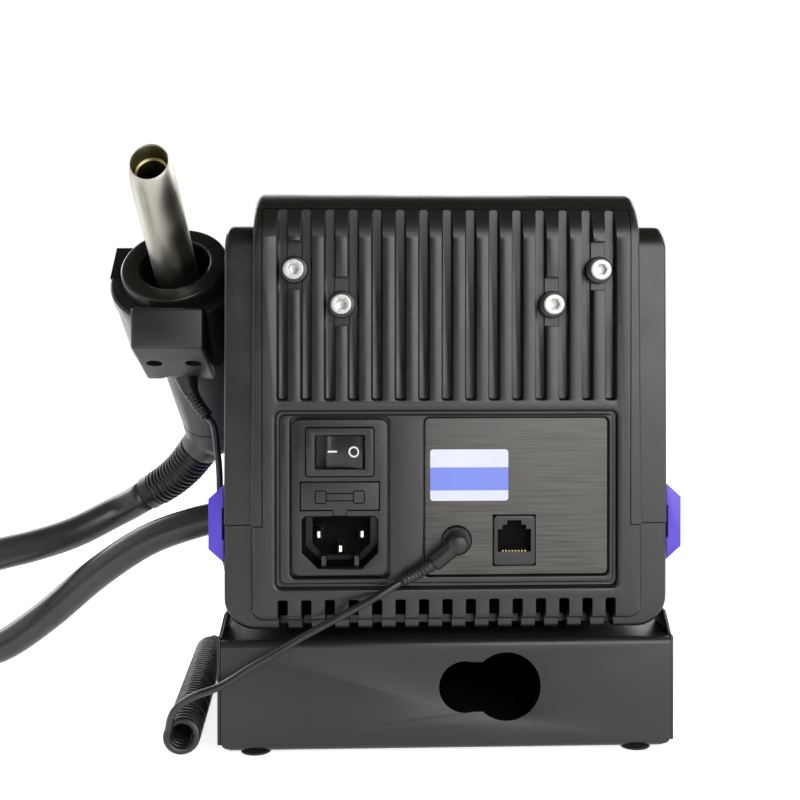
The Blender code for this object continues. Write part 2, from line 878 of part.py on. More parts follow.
def base_tray(station):
    """Floor and sides of the base, with the ears that locate the housing."""
    inner = base_width / 2 + gap
    outer = inner + sheet
    floor_low = tray_floor_z
    floor_high = tray_floor_z + sheet
    top = base_top_z
    ear_top = top + ear_rise
    right = [(inner, floor_high), (inner, top), (inner - ear_lean, ear_top),
             (outer - ear_lean, ear_top), (outer, top), (outer, floor_low)]
    outline = right + [(-a, b) for a, b in reversed(right)]
    low_y, high_y = base_front_y + sheet + gap, base_rear_y - sheet - gap
    tray = from_bmesh("base_tray", prism(outline, low_y, high_y, "Y"), black_metal())
    ears = ((high_y - ear_inset - ear_length, high_y - ear_inset),
            (low_y + ear_inset, low_y + ear_inset + ear_length))
    bounds = (high_y + MM, ears[0][1], ears[0][0], ears[1][1], ears[1][0], low_y - MM)
    for start, end in zip(bounds[::2], bounds[1::2]):
        strip = block(-outer - MM, outer + MM, end, start, top, ear_top + MM)
        cut(tray, from_bmesh("between_ears", strip, None))
    tray.parent = station
    return low_y, high_y


def feet(station, low_y, high_y):
    names = iter(("foot_1", "foot_2", "foot_3", "foot_4"))
    profile = [(0, 0), (foot_radius - 0.5 * MM, 0), (foot_radius, 0.5 * MM),
               (foot_radius, tray_floor_z - gap), (0, tray_floor_z - gap)]
    for x in (-base_width / 2 + foot_inset_x, base_width / 2 - foot_inset_x):
        for y in (low_y + foot_inset_y, high_y - foot_inset_y):
            foot = from_bmesh(next(names), turned(profile, 16), rubber())
            foot.location = (x, y, 0)
            shade(foot)
            foot.parent = station


# Power inlet module

def inlet_body(station):
    face_y = pocket_y + gap + inlet_flange
    back_y = pocket_y + gap
    flange = rounded_box_outline(inlet_x - inlet_width / 2, inlet_x + inlet_width / 2,
                                 inlet_z - inlet_height / 2, inlet_z + inlet_height / 2, 1.2 * MM)
    body = from_bmesh("inlet_body", prism(flange, back_y, face_y, "Y"), black_plastic())
    rear = block(inlet_x - inlet_body_width / 2, inlet_x + inlet_body_width / 2,
                 back_y - inlet_body_depth, back_y + inlet_flange / 2,
                 inlet_z - inlet_body_height / 2, inlet_z + inlet_body_height / 2)
    join(body, from_bmesh("rear", rear, None))
    bezel = rounded_box_outline(inlet_x - bezel_width / 2, inlet_x + bezel_width / 2,
                                bezel_z - bezel_height / 2, bezel_z + bezel_height / 2, 1.0 * MM)
    join(body, from_bmesh("bezel", prism(bezel, back_y + inlet_flange / 2, face_y + bezel_rise, "Y"),
                          None))
    room = block(inlet_x - rocker_width / 2 - slide_gap, inlet_x + rocker_width / 2 + slide_gap,
                 face_y - rocker_depth - MM, face_y + 5 * MM,
                 bezel_z - rocker_height / 2 - slide_gap, bezel_z + rocker_height / 2 + slide_gap)
    cut(body, from_bmesh("rocker_room", room, None))
    room = block(inlet_x - drawer_width / 2 - slide_gap, inlet_x + drawer_width / 2 + slide_gap,
                 face_y - drawer_depth - MM, face_y + 5 * MM,
                 drawer_z - drawer_height / 2 - slide_gap, drawer_z + drawer_height / 2 + slide_gap)
    cut(body, from_bmesh("drawer_room", room, None))
    tab = block(inlet_x - drawer_tab_width / 2 - slide_gap, inlet_x + drawer_tab_width / 2 + slide_gap,
                face_y - 1.2 * MM, face_y + 5 * MM,
                drawer_z - drawer_height / 2 - drawer_tab_drop - slide_gap, drawer_z)
    cut(body, from_bmesh("tab_room", tab, None))
    half = socket_width / 2
    low, high = socket_z - socket_height / 2, socket_z + socket_height / 2
    mouth = [(inlet_x - half + socket_chamfer, low), (inlet_x + half - socket_chamfer, low),
             (inlet_x + half, low + socket_chamfer), (inlet_x + half, high),
             (inlet_x - half, high), (inlet_x - half, low + socket_chamfer)]
    cut(body, from_bmesh("socket", prism(mouth, face_y - socket_depth, face_y + 5 * MM, "Y"), None))
    body.parent = station
    return face_y


def power_rocker(station, face_y):
    """A rocker that tips about an upright axis; it rests with its +X side in."""
    half = rocker_width / 2 - 0.25 * MM
    rise, dip, sink = 1.7 * MM, 0.6 * MM, rocker_depth - 5 * MM
    hinge_y = face_y - 1.6 * MM
    outline = [(half, rise), (0, dip), (-half, rise), (-half, 0)]
    outline += arc(0, 0, half, 200, 340, 8)
    outline += [(half, 0)]
    outline = [(a, max(b, -sink)) for a, b in outline]
    maker = prism(outline, -rocker_height / 2, rocker_height / 2, "Z")
    transform(maker, Matrix.Rotation(-rocker_tilt, 4, "Z"))
    rocker = from_bmesh("power_rocker", maker, black_plastic())
    rocker.location = (inlet_x, hinge_y, bezel_z)
    rocker.parent = station


def fuse_drawer(station, face_y):
    front = face_y + 0.6 * MM
    half_w, half_h = drawer_width / 2, drawer_height / 2
    drawer = from_bmesh("fuse_drawer", block(-half_w, half_w, -drawer_depth, 0, -half_h, half_h),
                        black_plastic())
    tab = block(-drawer_tab_width / 2, drawer_tab_width / 2, -1.2 * MM, 0,
                -half_h - drawer_tab_drop, -half_h + MM)
    join(drawer, from_bmesh("tab", tab, None))
    bed = fuse_radius + slide_gap
    middle_y = -drawer_depth / 2
    room = block(-fuse_length / 2 - slide_gap, fuse_length / 2 + slide_gap, middle_y - bed,
                 middle_y + bed, -fuse_radius - slide_gap, half_h + MM)
    cut(drawer, from_bmesh("bed", room, None))
    drawer.location = (inlet_x, front, drawer_z)
    drawer.parent = station
    bar = transform(disc(fuse_radius, -fuse_length / 2, fuse_length / 2, small_sides),
                    aimed((0, 0, 0), (1, 0, 0)))
    fuse = from_bmesh("fuse", bar, window())
    fuse.location = (inlet_x, front + middle_y, drawer_z)
    shade(fuse)
    fuse.parent = station


def inlet_pins(station, face_y):
    places = (("inlet_pin_line", pin_spread, pin_rise), ("inlet_pin_earth", 0.0, -1.9 * MM),
              ("inlet_pin_neutral", -pin_spread, pin_rise))
    low = face_y - socket_depth + gap
    for name, across, up in places:
        maker = block(-pin_width / 2, pin_width / 2, 0, pin_length, -pin_height / 2, pin_height / 2)
        pin = from_bmesh(name, maker, screw_steel())
        pin.location = (inlet_x + across, low, socket_z + up)
        pin.parent = station


# Connector plate

def connector_plate(station):
    outline = rounded_box_outline(plate_x - plate_width / 2, plate_x + plate_width / 2,
                                  plate_z - plate_height / 2, plate_z + plate_height / 2, 1.2 * MM)
    back = pocket_y + gap
    plate = from_bmesh("connector_plate", prism(outline, back, back + plate_thick, "Y"),
                       brushed_dark())
    hole = block(data_x - data_width / 2 - gap, data_x + data_width / 2 + gap, back - MM,
                 back + 3 * MM, data_z - data_height / 2 - gap, data_z + data_height / 2 + gap)
    cut(plate, from_bmesh("data_hole", hole, None))
    hole = transform(disc(jack_radius + gap, -5 * MM, 5 * MM),
                     aimed((jack_x, back, jack_z), (0, 1, 0)))
    cut(plate, from_bmesh("jack_hole", hole, None))
    plate.parent = station
    return back + plate_thick


def data_socket(station, plate_y):
    half_w, half_h = data_width / 2, data_height / 2
    socket = from_bmesh("data_socket",
                        block(-half_w, half_w, -data_depth, 0.5 * MM, -half_h, half_h),
                        black_plastic())
    low = -half_h + 3.2 * MM
    wide, step = data_opening_width / 2, data_opening_width / 4
    high = low + data_opening_height
    mouth = [(-step, low - 1.8 * MM), (step, low - 1.8 * MM), (step, low), (wide, low), (wide, high),
             (-wide, high), (-wide, low), (-step, low)]
    cut(socket, from_bmesh("mouth", prism(mouth, -data_depth + 2 * MM, 2 * MM, "Y"), None))
    socket.location = (data_x, plate_y, data_z)
    socket.parent = station


def standby_jack(station, plate_y):
    profile = [(jack_bore, -jack_depth), (jack_radius, -jack_depth), (jack_radius, jack_rise - 0.4 * MM),
               (jack_radius - 0.4 * MM, jack_rise), (jack_bore, jack_rise)]
    jack = from_bmesh("standby_jack", turned(profile, 20), black_plastic())
    jack.matrix_world = aimed((jack_x, plate_y, jack_z), (0, 1, 0))
    shade(jack)
    jack.parent = station


# Gun

def tube_shape(point):
    """Lean the nozzle's end rings towards the side that faces the rear."""
    start = tube_length * 0.55
    share = min(max((point.z - start) / (tube_length - start), 0.0), 1.0)
    share = share * share * (3 - 2 * share)
    return Vector((point.x, point.y, point.z - math.tan(tube_bevel_angle) * point.y * share))


def nozzle_tube(gun):
    inner = tube_radius - tube_wall
    tip_inner = tube_tip_radius - tube_wall
    lip = 0.9 * MM
    profile = [(inner, -tube_root), (tube_radius, -tube_root), (tube_radius, tube_length * 0.5),
               (tube_radius * 0.985, tube_length * 0.72), (tube_tip_radius, tube_length - 3 * lip),
               (tube_tip_radius - 0.15 * MM, tube_length - lip),
               (tube_tip_radius - 0.5 * MM, tube_length), (tip_inner, tube_length - lip / 2),
               (tip_inner, tube_length * 0.72), (inner, tube_length * 0.5)]
    tube = from_bmesh("nozzle_tube", turned(profile, round_sides, tube_shape), steel())
    shade(tube)
    tube.parent = gun


def guard_ring(gun):
    c = guard_chamfer
    profile = [(guard_hole, -guard_thick), (guard_radius, -guard_thick), (guard_radius, -c),
               (guard_radius - c, 0), (guard_hole + c, 0), (guard_hole, -c)]
    ring = from_bmesh("guard_ring", turned(profile, 32), dark_plastic())
    shade(ring)
    ring.parent = gun


def handle_stations():
    """(radius, height) of the handle's outside, top to bottom."""
    top = -guard_thick - gap
    return [(handle_neck, top), (handle_neck - 0.6 * MM, top - 8 * MM),
            (handle_waist + 0.9 * MM, top - 22 * MM), (handle_waist, top - 34 * MM),
            (handle_waist - 0.6 * MM, top - 50 * MM), (handle_tail, top - handle_length)]


def handle_shell(gun):
    outer = handle_stations()
    profile = outer[::-1] + [(radius - handle_wall, height) for radius, height in outer]
    shell = from_bmesh("handle_shell", turned(profile, 28), dark_plastic())
    shade(shell)
    shell.parent = gun


def handle_inner_radius(height):
    """The handle's bore at a height of the gun's frame."""
    points = handle_stations()
    for (upper_radius, upper), (lower_radius, lower) in zip(points, points[1:]):
        if lower <= height <= upper:
            share = (upper - height) / (upper - lower)
            return upper_radius + (lower_radius - upper_radius) * share - handle_wall
    return points[-1][0] - handle_wall


def tube_collar(gun):
    top = -collar_depth
    low = top - collar_thick
    inner = tube_radius + gap
    profile = [(inner, low), (handle_inner_radius(low) - gap, low),
               (handle_inner_radius(top) - gap, top), (inner, top)]
    collar = from_bmesh("tube_collar", turned(profile), ceramic())
    shade(collar)
    collar.parent = gun


def heater_core(gun):
    low = -tube_root + 2 * MM
    radius = tube_radius - tube_wall - gap
    core = from_bmesh("heater_core", disc(radius, low, low + heater_length, 16), ceramic())
    shade(core)
    core.parent = gun


def boot_points():
    """Route of the hose's boot, in the housing's frame."""
    return [(94.3 * MM, -110.0 * MM, 86.7 * MM), (100.6 * MM, -114.6 * MM, 79.2 * MM),
            (108.0 * MM, -118.8 * MM, 72.9 * MM), (116.4 * MM, -122.0 * MM, 67.7 * MM)]


def boot_path():
    return smooth_route(boot_points(), 0.9 * MM)


def cap_centre():
    """The middle of the end cap's dome, in the gun's frame."""
    return Vector((0, 0, handle_stations()[-1][1] - gap - cap_reach))


def end_cap(gun, matrix):
    """A domed cap whose neck points the way the hose leaves."""
    bottom = handle_stations()[-1][1]
    centre = cap_centre()
    dome = [(handle_tail * math.cos(math.radians(a)), centre.z - handle_tail * math.sin(math.radians(a)))
            for a in (0, 18, 36, 54, 72)]
    profile = [(0, bottom - gap), (handle_tail, bottom - gap)] + dome + [(0, centre.z - handle_tail)]
    cap = from_bmesh("end_cap", turned(profile[::-1], 28), dark_plastic())
    first, second = [matrix.inverted() @ point for point in boot_path()[:2]]
    way = (second - first).normalized()
    reach = (first - centre).length
    neck = transform(disc(cap_neck, -reach, -gap, 20), aimed(first, way))
    join(cap, from_bmesh("neck", neck, None))
    shade(cap)
    cap.parent = gun


def hose_boot(gun, matrix):
    path = boot_path()
    count = len(path)
    radii = []
    for index in range(count):
        along = index / (count - 1)
        body = boot_radius + (boot_end_radius - boot_radius) * along
        wave = math.cos(math.tau * boot_ribs * along)
        ribbed = 0.08 < along < 0.86
        radii.append(body - (0.5 * MM * (1 - wave) if ribbed else 0.0))
    maker = transform(swept(path, radii, 16), matrix.inverted())
    boot = from_bmesh("hose_boot", maker, rubber())
    shade(boot, math.radians(60))
    boot.parent = gun


# Cradle

def cradle(station, matrix):
    """A C-shaped seat about the handle, flat against its bracket."""
    top = -guard_thick - gap
    low = top - cradle_length
    inner = []
    for height in (top, top - 8 * MM, top - 22 * MM, low):
        inner.append((handle_inner_radius(height) + handle_wall + cradle_clear, height))
    profile = [(cradle_foot_radius, low), (cradle_radius, top - 4 * MM), (cradle_radius, top)] + inner
    body = from_bmesh("cradle", transform(turned(profile, 36), matrix), black_plastic())
    reach = cradle_radius * 3
    half = cradle_mouth / 2
    wedge = [(0, 0), (reach * math.sin(half), -reach * math.cos(half)),
             (-reach * math.sin(half), -reach * math.cos(half))]
    mouth = prism(wedge, low - MM, top + MM, "Z")
    cut(body, from_bmesh("mouth", transform(mouth, matrix), None))
    wall = block(0, cradle_wall_x, gun_y - reach, gun_y + reach, gun_z - reach, gun_z + reach)
    cut(body, from_bmesh("wall_cut", wall, None))
    above = block(0, gun_x + reach, gun_y - reach, gun_y + reach, cradle_tip_z, gun_z + reach)
    cut(body, from_bmesh("tip_cut", above, None))
    shade(body)
    body.parent = station


def cradle_bracket(station):
    """A plate on the housing's side that carries the cradle, with a top tab."""
    low_x, high_x = wall_x + gap, cradle_wall_x - gap
    corner = 5 * MM
    outline = rounded_box_outline(bracket_low_y, bracket_high_y, bracket_low_z, bracket_high_z, corner)
    plate = from_bmesh("cradle_bracket", prism(outline, low_x, high_x, "X"), black_metal())
    for y in (bracket_low_y + 7 * MM, bracket_high_y - 7 * MM):
        z = bracket_low_z + 6 * MM if y < gun_y else bracket_high_z - 6 * MM
        hole = transform(disc(screw_shank_radius + gap, -5 * MM, 5 * MM, small_sides),
                         aimed((low_x, y, z), (1, 0, 0)))
        cut(plate, from_bmesh("screw_hole", hole, None))
    plate.parent = station


def bracket_screws(station):
    names = iter(("bracket_screw_1", "bracket_screw_2"))
    face = cradle_wall_x - gap
    for y in (bracket_low_y + 7 * MM, bracket_high_y - 7 * MM):
        z = bracket_low_z + 6 * MM if y < gun_y else bracket_high_z - 6 * MM
        rise = bracket_screw_rise
        profile = [(0, -1.8 * MM), (screw_shank_radius, -1.8 * MM), (screw_shank_radius, gap),
                   (bracket_screw_radius, gap), (bracket_screw_radius * 0.8, gap + rise * 0.75),
                   (0, gap + rise)]
        screw = from_bmesh(next(names), turned(profile, 16), black_metal())
        shade(screw)
        screw.matrix_world = aimed((face, y, z), (1, 0, 0))
        screw.parent = station


def sensor_box(station, matrix):
    """The box under the cradle that holds the standby sensor."""
    outline = [(box_rear_y, box_low_z), (box_rear_y, box_top_z), (box_front_y, box_top_z),
               (box_front_y, box_front_z)]
    body = from_bmesh("sensor_box", prism(outline, box_x - box_width / 2, box_x + box_width / 2, "X"),
                      black_metal())
    room = transform(disc(cradle_radius + gap, -80 * MM, 40 * MM, 36), matrix)
    cut(body, from_bmesh("cradle_room", room, None))
    slope = Vector((0, box_front_y - box_rear_y, box_front_z - box_low_z)).normalized()
    down = Vector((0, slope.z, -slope.y)) * -1
    middle = Vector((box_x, box_rear_y, box_low_z)) + slope * 14.5 * MM
    for side in (-1, 1):
        place = middle + Vector((side * box_hole_spread, 0, 0))
        hole = transform(disc(box_hole_radius, -1.6 * MM, 3 * MM, 16), aimed(place, down))
        cut(body, from_bmesh("box_hole", hole, None))
    body.parent = station


def boot_route():
    """Route of the sensor cord's boot, down from the box's front."""
    return [(91.0 * MM, -59.0 * MM, 117.6 * MM), (89.6 * MM, -58.6 * MM, 112.6 * MM),
            (86.6 * MM, -57.2 * MM, 107.6 * MM), (83.0 * MM, -55.4 * MM, 103.2 * MM)]


def sensor_boot(station):
    path = sensor_boot_path()
    count = len(path)
    radii = []
    for index in range(count):
        along = index / (count - 1)
        body = (4.4 - 2.2 * min(along / 0.5, 1.0)) * MM
        ribbed = along > 0.5
        radii.append(body - (0.25 * MM * (1 - math.cos(math.tau * 10 * along)) if ribbed else 0.0))
    boot = from_bmesh("sensor_boot", swept(path, radii, small_sides), rubber())
    shade(boot, math.radians(60))
    boot.parent = station


# Hose gland

def hose_gland(station):
    """A flanged gland through the lower shell's side."""
    neck = gland_radius * 0.72
    low = -shell_wall - gland_tail
    profile = [(gland_bore, low), (neck, low), (neck, gap), (gland_radius, gap),
               (gland_radius, gland_rise * 0.55), (neck + 0.8 * MM, gland_rise), (gland_bore, gland_rise)]
    gland = from_bmesh("hose_gland", turned(profile), black_plastic())
    gland.matrix_world = aimed((wall_x, gland_y, gland_z), (1, 0, 0))
    shade(gland)
    gland.parent = station


# Front

def fascia_outline():
    upper = upper_outline(0, parting_z)[1:-1]
    lower = lower_outline(0, parting_z)[1:-1]
    return upper + lower


def front_fascia(station):
    fascia = from_bmesh("front_fascia", prism(fascia_outline(), fascia_front_y, fascia_back_y, "Y"),
                        black_plastic())
    half_w, half_h = display_width / 2 + gap, display_height / 2 + gap
    recess = rounded_box_outline(-half_w, half_w, display_z - half_h, display_z + half_h, 3 * MM)
    cut(fascia, from_bmesh("display_recess",
                           prism(recess, fascia_front_y - MM, fascia_front_y + display_thick + gap, "Y"),
                           None))
    for index in range(button_count):
        x = (index - (button_count - 1) / 2) * button_pitch
        half_w, half_h = button_width / 2 + slide_gap, button_height / 2 + slide_gap
        hole = rounded_box_outline(x - half_w, x + half_w, button_z - half_h, button_z + half_h,
                                   2.2 * MM)
        cut(fascia, from_bmesh("button_hole", prism(hole, fascia_front_y - MM, fascia_back_y + MM, "Y"),
                               None))
    for x in (-knob_x, knob_x):
        hole = transform(disc(knob_shaft + slide_gap, -20 * MM, 20 * MM, small_sides),
                         aimed((x, fascia_front_y, knob_z), (0, 1, 0)))
        cut(fascia, from_bmesh("shaft_hole", hole, None))
    fascia.parent = station


def display_window(station):
    outline = rounded_box_outline(-display_width / 2, display_width / 2, display_z - display_height / 2,
                                  display_z + display_height / 2, 2.8 * MM)
    pane = from_bmesh("display_window",
                      prism(outline, fascia_front_y, fascia_front_y + display_thick, "Y"), window())
    pane.parent = station


def preset_buttons(station):
    names = ("preset_button_1", "preset_button_2", "preset_button_3")
    outline = rounded_box_outline(-button_width / 2, button_width / 2, -button_height / 2,
                                  button_height / 2, 2 * MM)
    flange = rounded_box_outline(-button_width / 2 - MM, button_width / 2 + MM,
                                 -button_height / 2 - MM, button_height / 2 + MM, 2 * MM)
    for index in range(button_count):
        x = (index - (button_count - 1) / 2) * button_pitch
        cap = from_bmesh(names[index], prism(outline, -button_rise, fascia_thick + 1.5 * MM, "Y"),
                         dark_plastic())
        lip = prism(flange, fascia_thick + gap, fascia_thick + 1.5 * MM, "Y")
        join(cap, from_bmesh("lip", lip, None))
        cap.location = (x, fascia_front_y, button_z)
        cap.parent = station


def knob(name, x, station):
    """A fluted knob with its shaft, on an axis along Y."""
    outline = []
    for index in range(knob_flutes * 2):
        angle = math.tau * index / (knob_flutes * 2)
        radius = knob_radius - (0.7 * MM if index % 2 else 0.0)
        outline.append((radius * math.cos(angle), radius * math.sin(angle)))
    made = from_bmesh(name, prism(outline, -gap - knob_height, -gap, "Y"), dark_plastic())
    shaft = transform(disc(knob_shaft, -fascia_thick - 4 * MM, 2 * MM, small_sides),
                      aimed((0, 0, 0), (0, -1, 0)))
    join(made, from_bmesh("shaft", shaft, None))
    notch = block(-0.6 * MM, 0.6 * MM, -gap - knob_height - MM, -gap - knob_height + 0.8 * MM,
                  knob_radius * 0.35, knob_radius * 0.9)
    cut(made, from_bmesh("pointer", notch, None))
    made.location = (x, fascia_front_y, knob_z)
    made.parent = station


# Inside

def pump(station):
    low = floor_z + gap
    pad_outline = rounded_box_outline(pump_x - pump_width / 2 - 2 * MM, pump_x + pump_width / 2 + 2 * MM,
                                      pump_y - pump_length / 2 - 2 * MM,
                                      pump_y + pump_length / 2 + 2 * MM, 4 * MM)
    pad = from_bmesh("pump_pad", prism(pad_outline, low, low + pad_thick, "Z"), rubber())
    pad.parent = station
    bottom = low + pad_thick + gap
    outline = rounded_box_outline(pump_x - pump_width / 2, pump_x + pump_width / 2, bottom,
                                  bottom + pump_height, 10 * MM, 5)
    body = from_bmesh("air_pump", prism(outline, pump_y - pump_length / 2, pump_y + pump_length / 2, "Y"),
                      steel())
    outlet = pump_outlet()
    nozzle = transform(disc(pump_nozzle_radius, -2 * MM, pump_nozzle_length, small_sides),
                       aimed(outlet, (1, 0, 0)))
    join(body, from_bmesh("outlet", nozzle, None))
    shade(body)
    body.parent = station


def pump_outlet():
    return (pump_x + pump_width / 2, gland_y, gland_z + pump_nozzle_rise)


def inner_air_tube(station):
    """The rigid elbow from the pump's outlet to the gland."""
    out_x, out_y, out_z = pump_outlet()
    start_x = out_x + pump_nozzle_length + gap
    end_x = wall_x - shell_wall - gland_tail - gap
    middle = (start_x + end_x) / 2
    points = [(start_x, out_y, out_z), (start_x + (middle - start_x) * 0.6, out_y, out_z),
              (middle, out_y, (out_z + gland_z) / 2), (end_x - (end_x - middle) * 0.6, out_y, gland_z),
              (end_x, out_y, gland_z)]
    path = smooth_route(points, 3 * MM)
    tube = from_bmesh("inner_air_tube", swept(path, [pump_nozzle_radius] * len(path), small_sides),
                      rubber())
    shade(tube)
    tube.parent = station


def power_supply(station):
    low = floor_z + gap
    board = block(supply_x - supply_width / 2 - 2 * MM, supply_x + supply_width / 2 + 2 * MM,
                  supply_y - supply_length / 2 - 2 * MM, supply_y + supply_length / 2 + 2 * MM,
                  low, low + board_thick)
    plate = from_bmesh("power_board", board, board_green())
    plate.parent = station
    top = low + board_thick + gap
    frame = block(supply_x - supply_width * 0.36, supply_x + supply_width * 0.36,
                  supply_y - supply_length / 2 + 6 * MM, supply_y + supply_length / 2 - 20 * MM,
                  top, top + supply_height * 0.45)
    core = from_bmesh("mains_transformer", frame, steel())
    coil = block(supply_x - supply_width * 0.24, supply_x + supply_width * 0.24,
                 supply_y - supply_length / 2 + 2 * MM, supply_y + supply_length / 2 - 16 * MM,
                 top + 2 * MM, top + supply_height * 0.38)
    join(core, from_bmesh("winding", coil, None))
    core.parent = station


def control_board(station):
    low_y = fascia_back_y + gap
    half_w, half_h = display_width / 2 + 8 * MM, display_height / 2 + 2 * MM
    board = from_bmesh("control_board",
                       block(-half_w, half_w, low_y, low_y + board_thick, display_z - half_h,
                             display_z + half_h), board_green())
    board.parent = station


# Cords

def hose_upper_route():
    """From the boot, out past the side and down onto the loose turns."""
    return beyond(boot_path(), (gap, 9 * MM)) + [
            (131.0 * MM, -124.5 * MM, 59.5 * MM), (144.7 * MM, -118.0 * MM, 52.8 * MM),
            (158.0 * MM, -108.0 * MM, 49.1 * MM), (170.5 * MM, -97.0 * MM, 47.2 * MM),
            (182.0 * MM, -84.0 * MM, 44.6 * MM), (190.5 * MM, -68.0 * MM, 38.6 * MM),
            (196.0 * MM, -48.0 * MM, 30.0 * MM), (203.0 * MM, -24.0 * MM, 22.5 * MM),
            (217.0 * MM, 1.0 * MM, 19.4 * MM), (237.0 * MM, 17.5 * MM, 19.3 * MM)]


def hose_lower_route():
    """From the loose turns, along the bench and up to the gland."""
    gland_end = wall_x + gland_rise + gap
    return [(215.0 * MM, -120.9 * MM, 6.4 * MM), (199.0 * MM, -118.6 * MM, 6.4 * MM),
            (184.0 * MM, -112.5 * MM, 6.6 * MM), (171.0 * MM, -107.5 * MM, 9.5 * MM),
            (153.0 * MM, -105.0 * MM, 21.8 * MM), (133.0 * MM, -105.0 * MM, 38.6 * MM),
            (113.0 * MM, -105.0 * MM, 51.6 * MM), (93.0 * MM, -105.0 * MM, 58.6 * MM),
            (85.5 * MM, gland_y, gland_z), (gland_end, gland_y, gland_z)]


def air_hose(station):
    cord_tube("air_hose_upper", smooth_route(hose_upper_route(), 6 * MM), hose_radius, rubber(),
              station, 3)
    cord_tube("air_hose_lower", smooth_route(hose_lower_route(), 6 * MM), hose_radius, rubber(),
              station, 3)
    low, high = 0.1 * MM, 2 * hose_radius + 0.1 * MM
    outer = coil_outer + hose_radius
    inner = coil_inner - hose_radius
    ease = hose_radius * 0.6
    profile = [(inner + ease, low), (outer - ease, low), (outer, low + ease), (outer, high - ease),
               (outer - ease, high), (inner + ease, high), (inner, high - ease), (inner, low + ease)]
    coil = from_bmesh("air_hose_coil", turned(profile, 36), rubber())
    coil.location = (coil_x, coil_y, 0)
    shade(coil)
    coil.parent = station


def curl_ends():
    """Far and near ends of the curly stretch's axis on the bench."""
    height = curl_radius + 0.15 * MM
    return Vector((87.3 * MM, -104.0 * MM, height)), Vector((82.9 * MM, -3.0 * MM, height))


def standby_cords(station):
    far, near = curl_ends()
    path = smooth_route([far, far.lerp(near, 0.5), near], 9 * MM)
    cord_tube("standby_curl", path, curl_radius, rubber(), station, 4)
    upper = beyond(sensor_boot_path(), (gap, 4 * MM))
    upper += [(79.5 * MM, -53.4 * MM, 93.5 * MM), (78.5 * MM, -53.0 * MM, 84.0 * MM),
             (78.3 * MM, -54.0 * MM, 72.0 * MM), (78.0 * MM, -62.0 * MM, 54.0 * MM),
             (77.8 * MM, -80.0 * MM, 36.0 * MM), (78.5 * MM, -100.0 * MM, 20.0 * MM),
             (80.5 * MM, -114.0 * MM, 8.0 * MM), (84.0 * MM, -118.0 * MM, 3.4 * MM),
             (86.9 * MM, -114.5 * MM, 4.0 * MM)]
    upper += beyond([near, far], (6 * MM, gap))
    cord_tube("sensor_cord", smooth_route(upper, 4 * MM), cord_radius, rubber(), station, 2)
    lower = beyond([far, near], (gap, 5.5 * MM))
    lower += [(79.0 * MM, 5.6 * MM, 12.5 * MM), (71.7 * MM, 6.0 * MM, 21.4 * MM),
             (60.9 * MM, 5.2 * MM, 28.2 * MM), (45.4 * MM, 6.0 * MM, 37.4 * MM),
             (33.0 * MM, 6.4 * MM, 46.0 * MM)]
    lower += beyond(plug_path(), (5 * MM, gap))
    cord_tube("standby_cord", smooth_route(lower, 5 * MM), cord_radius, rubber(), station, 2)


def beyond(path, distances):
    """Points straight on past a path's end, at the given distances."""
    way = (path[-1] - path[-2]).normalized()
    return [tuple(path[-1] + way * distance) for distance in distances]


def sensor_boot_path():
    return smooth_route(boot_route(), 0.9 * MM)


def plug_head_y():
    return pocket_y + gap + plate_thick + jack_rise + gap


def plug_route():
    """Axis of the plug's barrel and ribbed relief, from the head outwards."""
    y = plug_head_y() + plug_length / 2
    steps = ((0, 0, 0), (5.0, 0, -4.1), (8.3, 0, -6.6), (12.6, 0.6, -9.2), (17.3, 1.2, -11.4))
    return [Vector((jack_x, y, jack_z)) + Vector(step) * MM for step in steps]


def plug_path():
    return smooth_route(plug_route(), 0.8 * MM)


def standby_plug(station):
    """A right-angle plug: a round head on its pin, a barrel and a ribbed relief."""
    low = plug_head_y()
    ease = 0.7 * MM
    pin = jack_bore - gap
    profile = [(0, -8 * MM), (pin, -8 * MM), (pin, 0), (plug_radius, 0), (plug_radius, plug_length - ease),
               (plug_radius - ease, plug_length), (0, plug_length)]
    plug = from_bmesh("standby_plug", transform(turned(profile, 20), aimed((jack_x, low, jack_z),
                                                                          (0, 1, 0))), rubber())
    path = plug_path()
    count = len(path)
    radii = []
    for index in range(count):
        along = index / (count - 1)
        body = plug_barrel if along < 0.42 else 2.3 * MM - 0.5 * MM * (along - 0.42) / 0.58
        wave = 0.25 * MM * (1 - math.cos(math.tau * 14 * along)) if along > 0.45 else 0.0
        radii.append(body - wave)
    join(plug, from_bmesh("barrel", swept(path, radii, small_sides), None))
    shade(plug, math.radians(50))
    plug.parent = station


def build():
    clear_scene()
    station = make_empty("station", Matrix.Translation((-middle_x, -middle_y, 0)))
    matrix = gun_matrix()
    gun = make_empty("gun", matrix, station)
    low_y, high_y = base_tray(station)
    base_cover(station)
    feet(station, low_y, high_y)
    upper_shell(station)
    lower_shell(station)
    for name, x, z in screw_places():
        cap_screw(name, x, 0, z, (0, 1, 0), station)
    side_rail("side_rail_left", 1, station)
    side_rail("side_rail_right", -1, station)
    face_y = inlet_body(station)
    power_rocker(station, face_y)
    fuse_drawer(station, face_y)
    inlet_pins(station, face_y)
    plate_y = connector_plate(station)
    data_socket(station, plate_y)
    standby_jack(station, plate_y)
    nozzle_tube(gun)
    guard_ring(gun)
    handle_shell(gun)
    tube_collar(gun)
    heater_core(gun)
    end_cap(gun, matrix)
    hose_boot(gun, matrix)
    cradle(station, matrix)
    cradle_bracket(station)
    bracket_screws(station)
    sensor_box(station, matrix)
    sensor_boot(station)
    hose_gland(station)
    front_fascia(station)
    display_window(station)
    preset_buttons(station)
    knob("temperature_knob", -knob_x, station)
    knob("air_knob", knob_x, station)
    pump(station)
    inner_air_tube(station)
    power_supply(station)
    control_board(station)
    air_hose(station)
    standby_cords(station)
    standby_plug(station)


build()
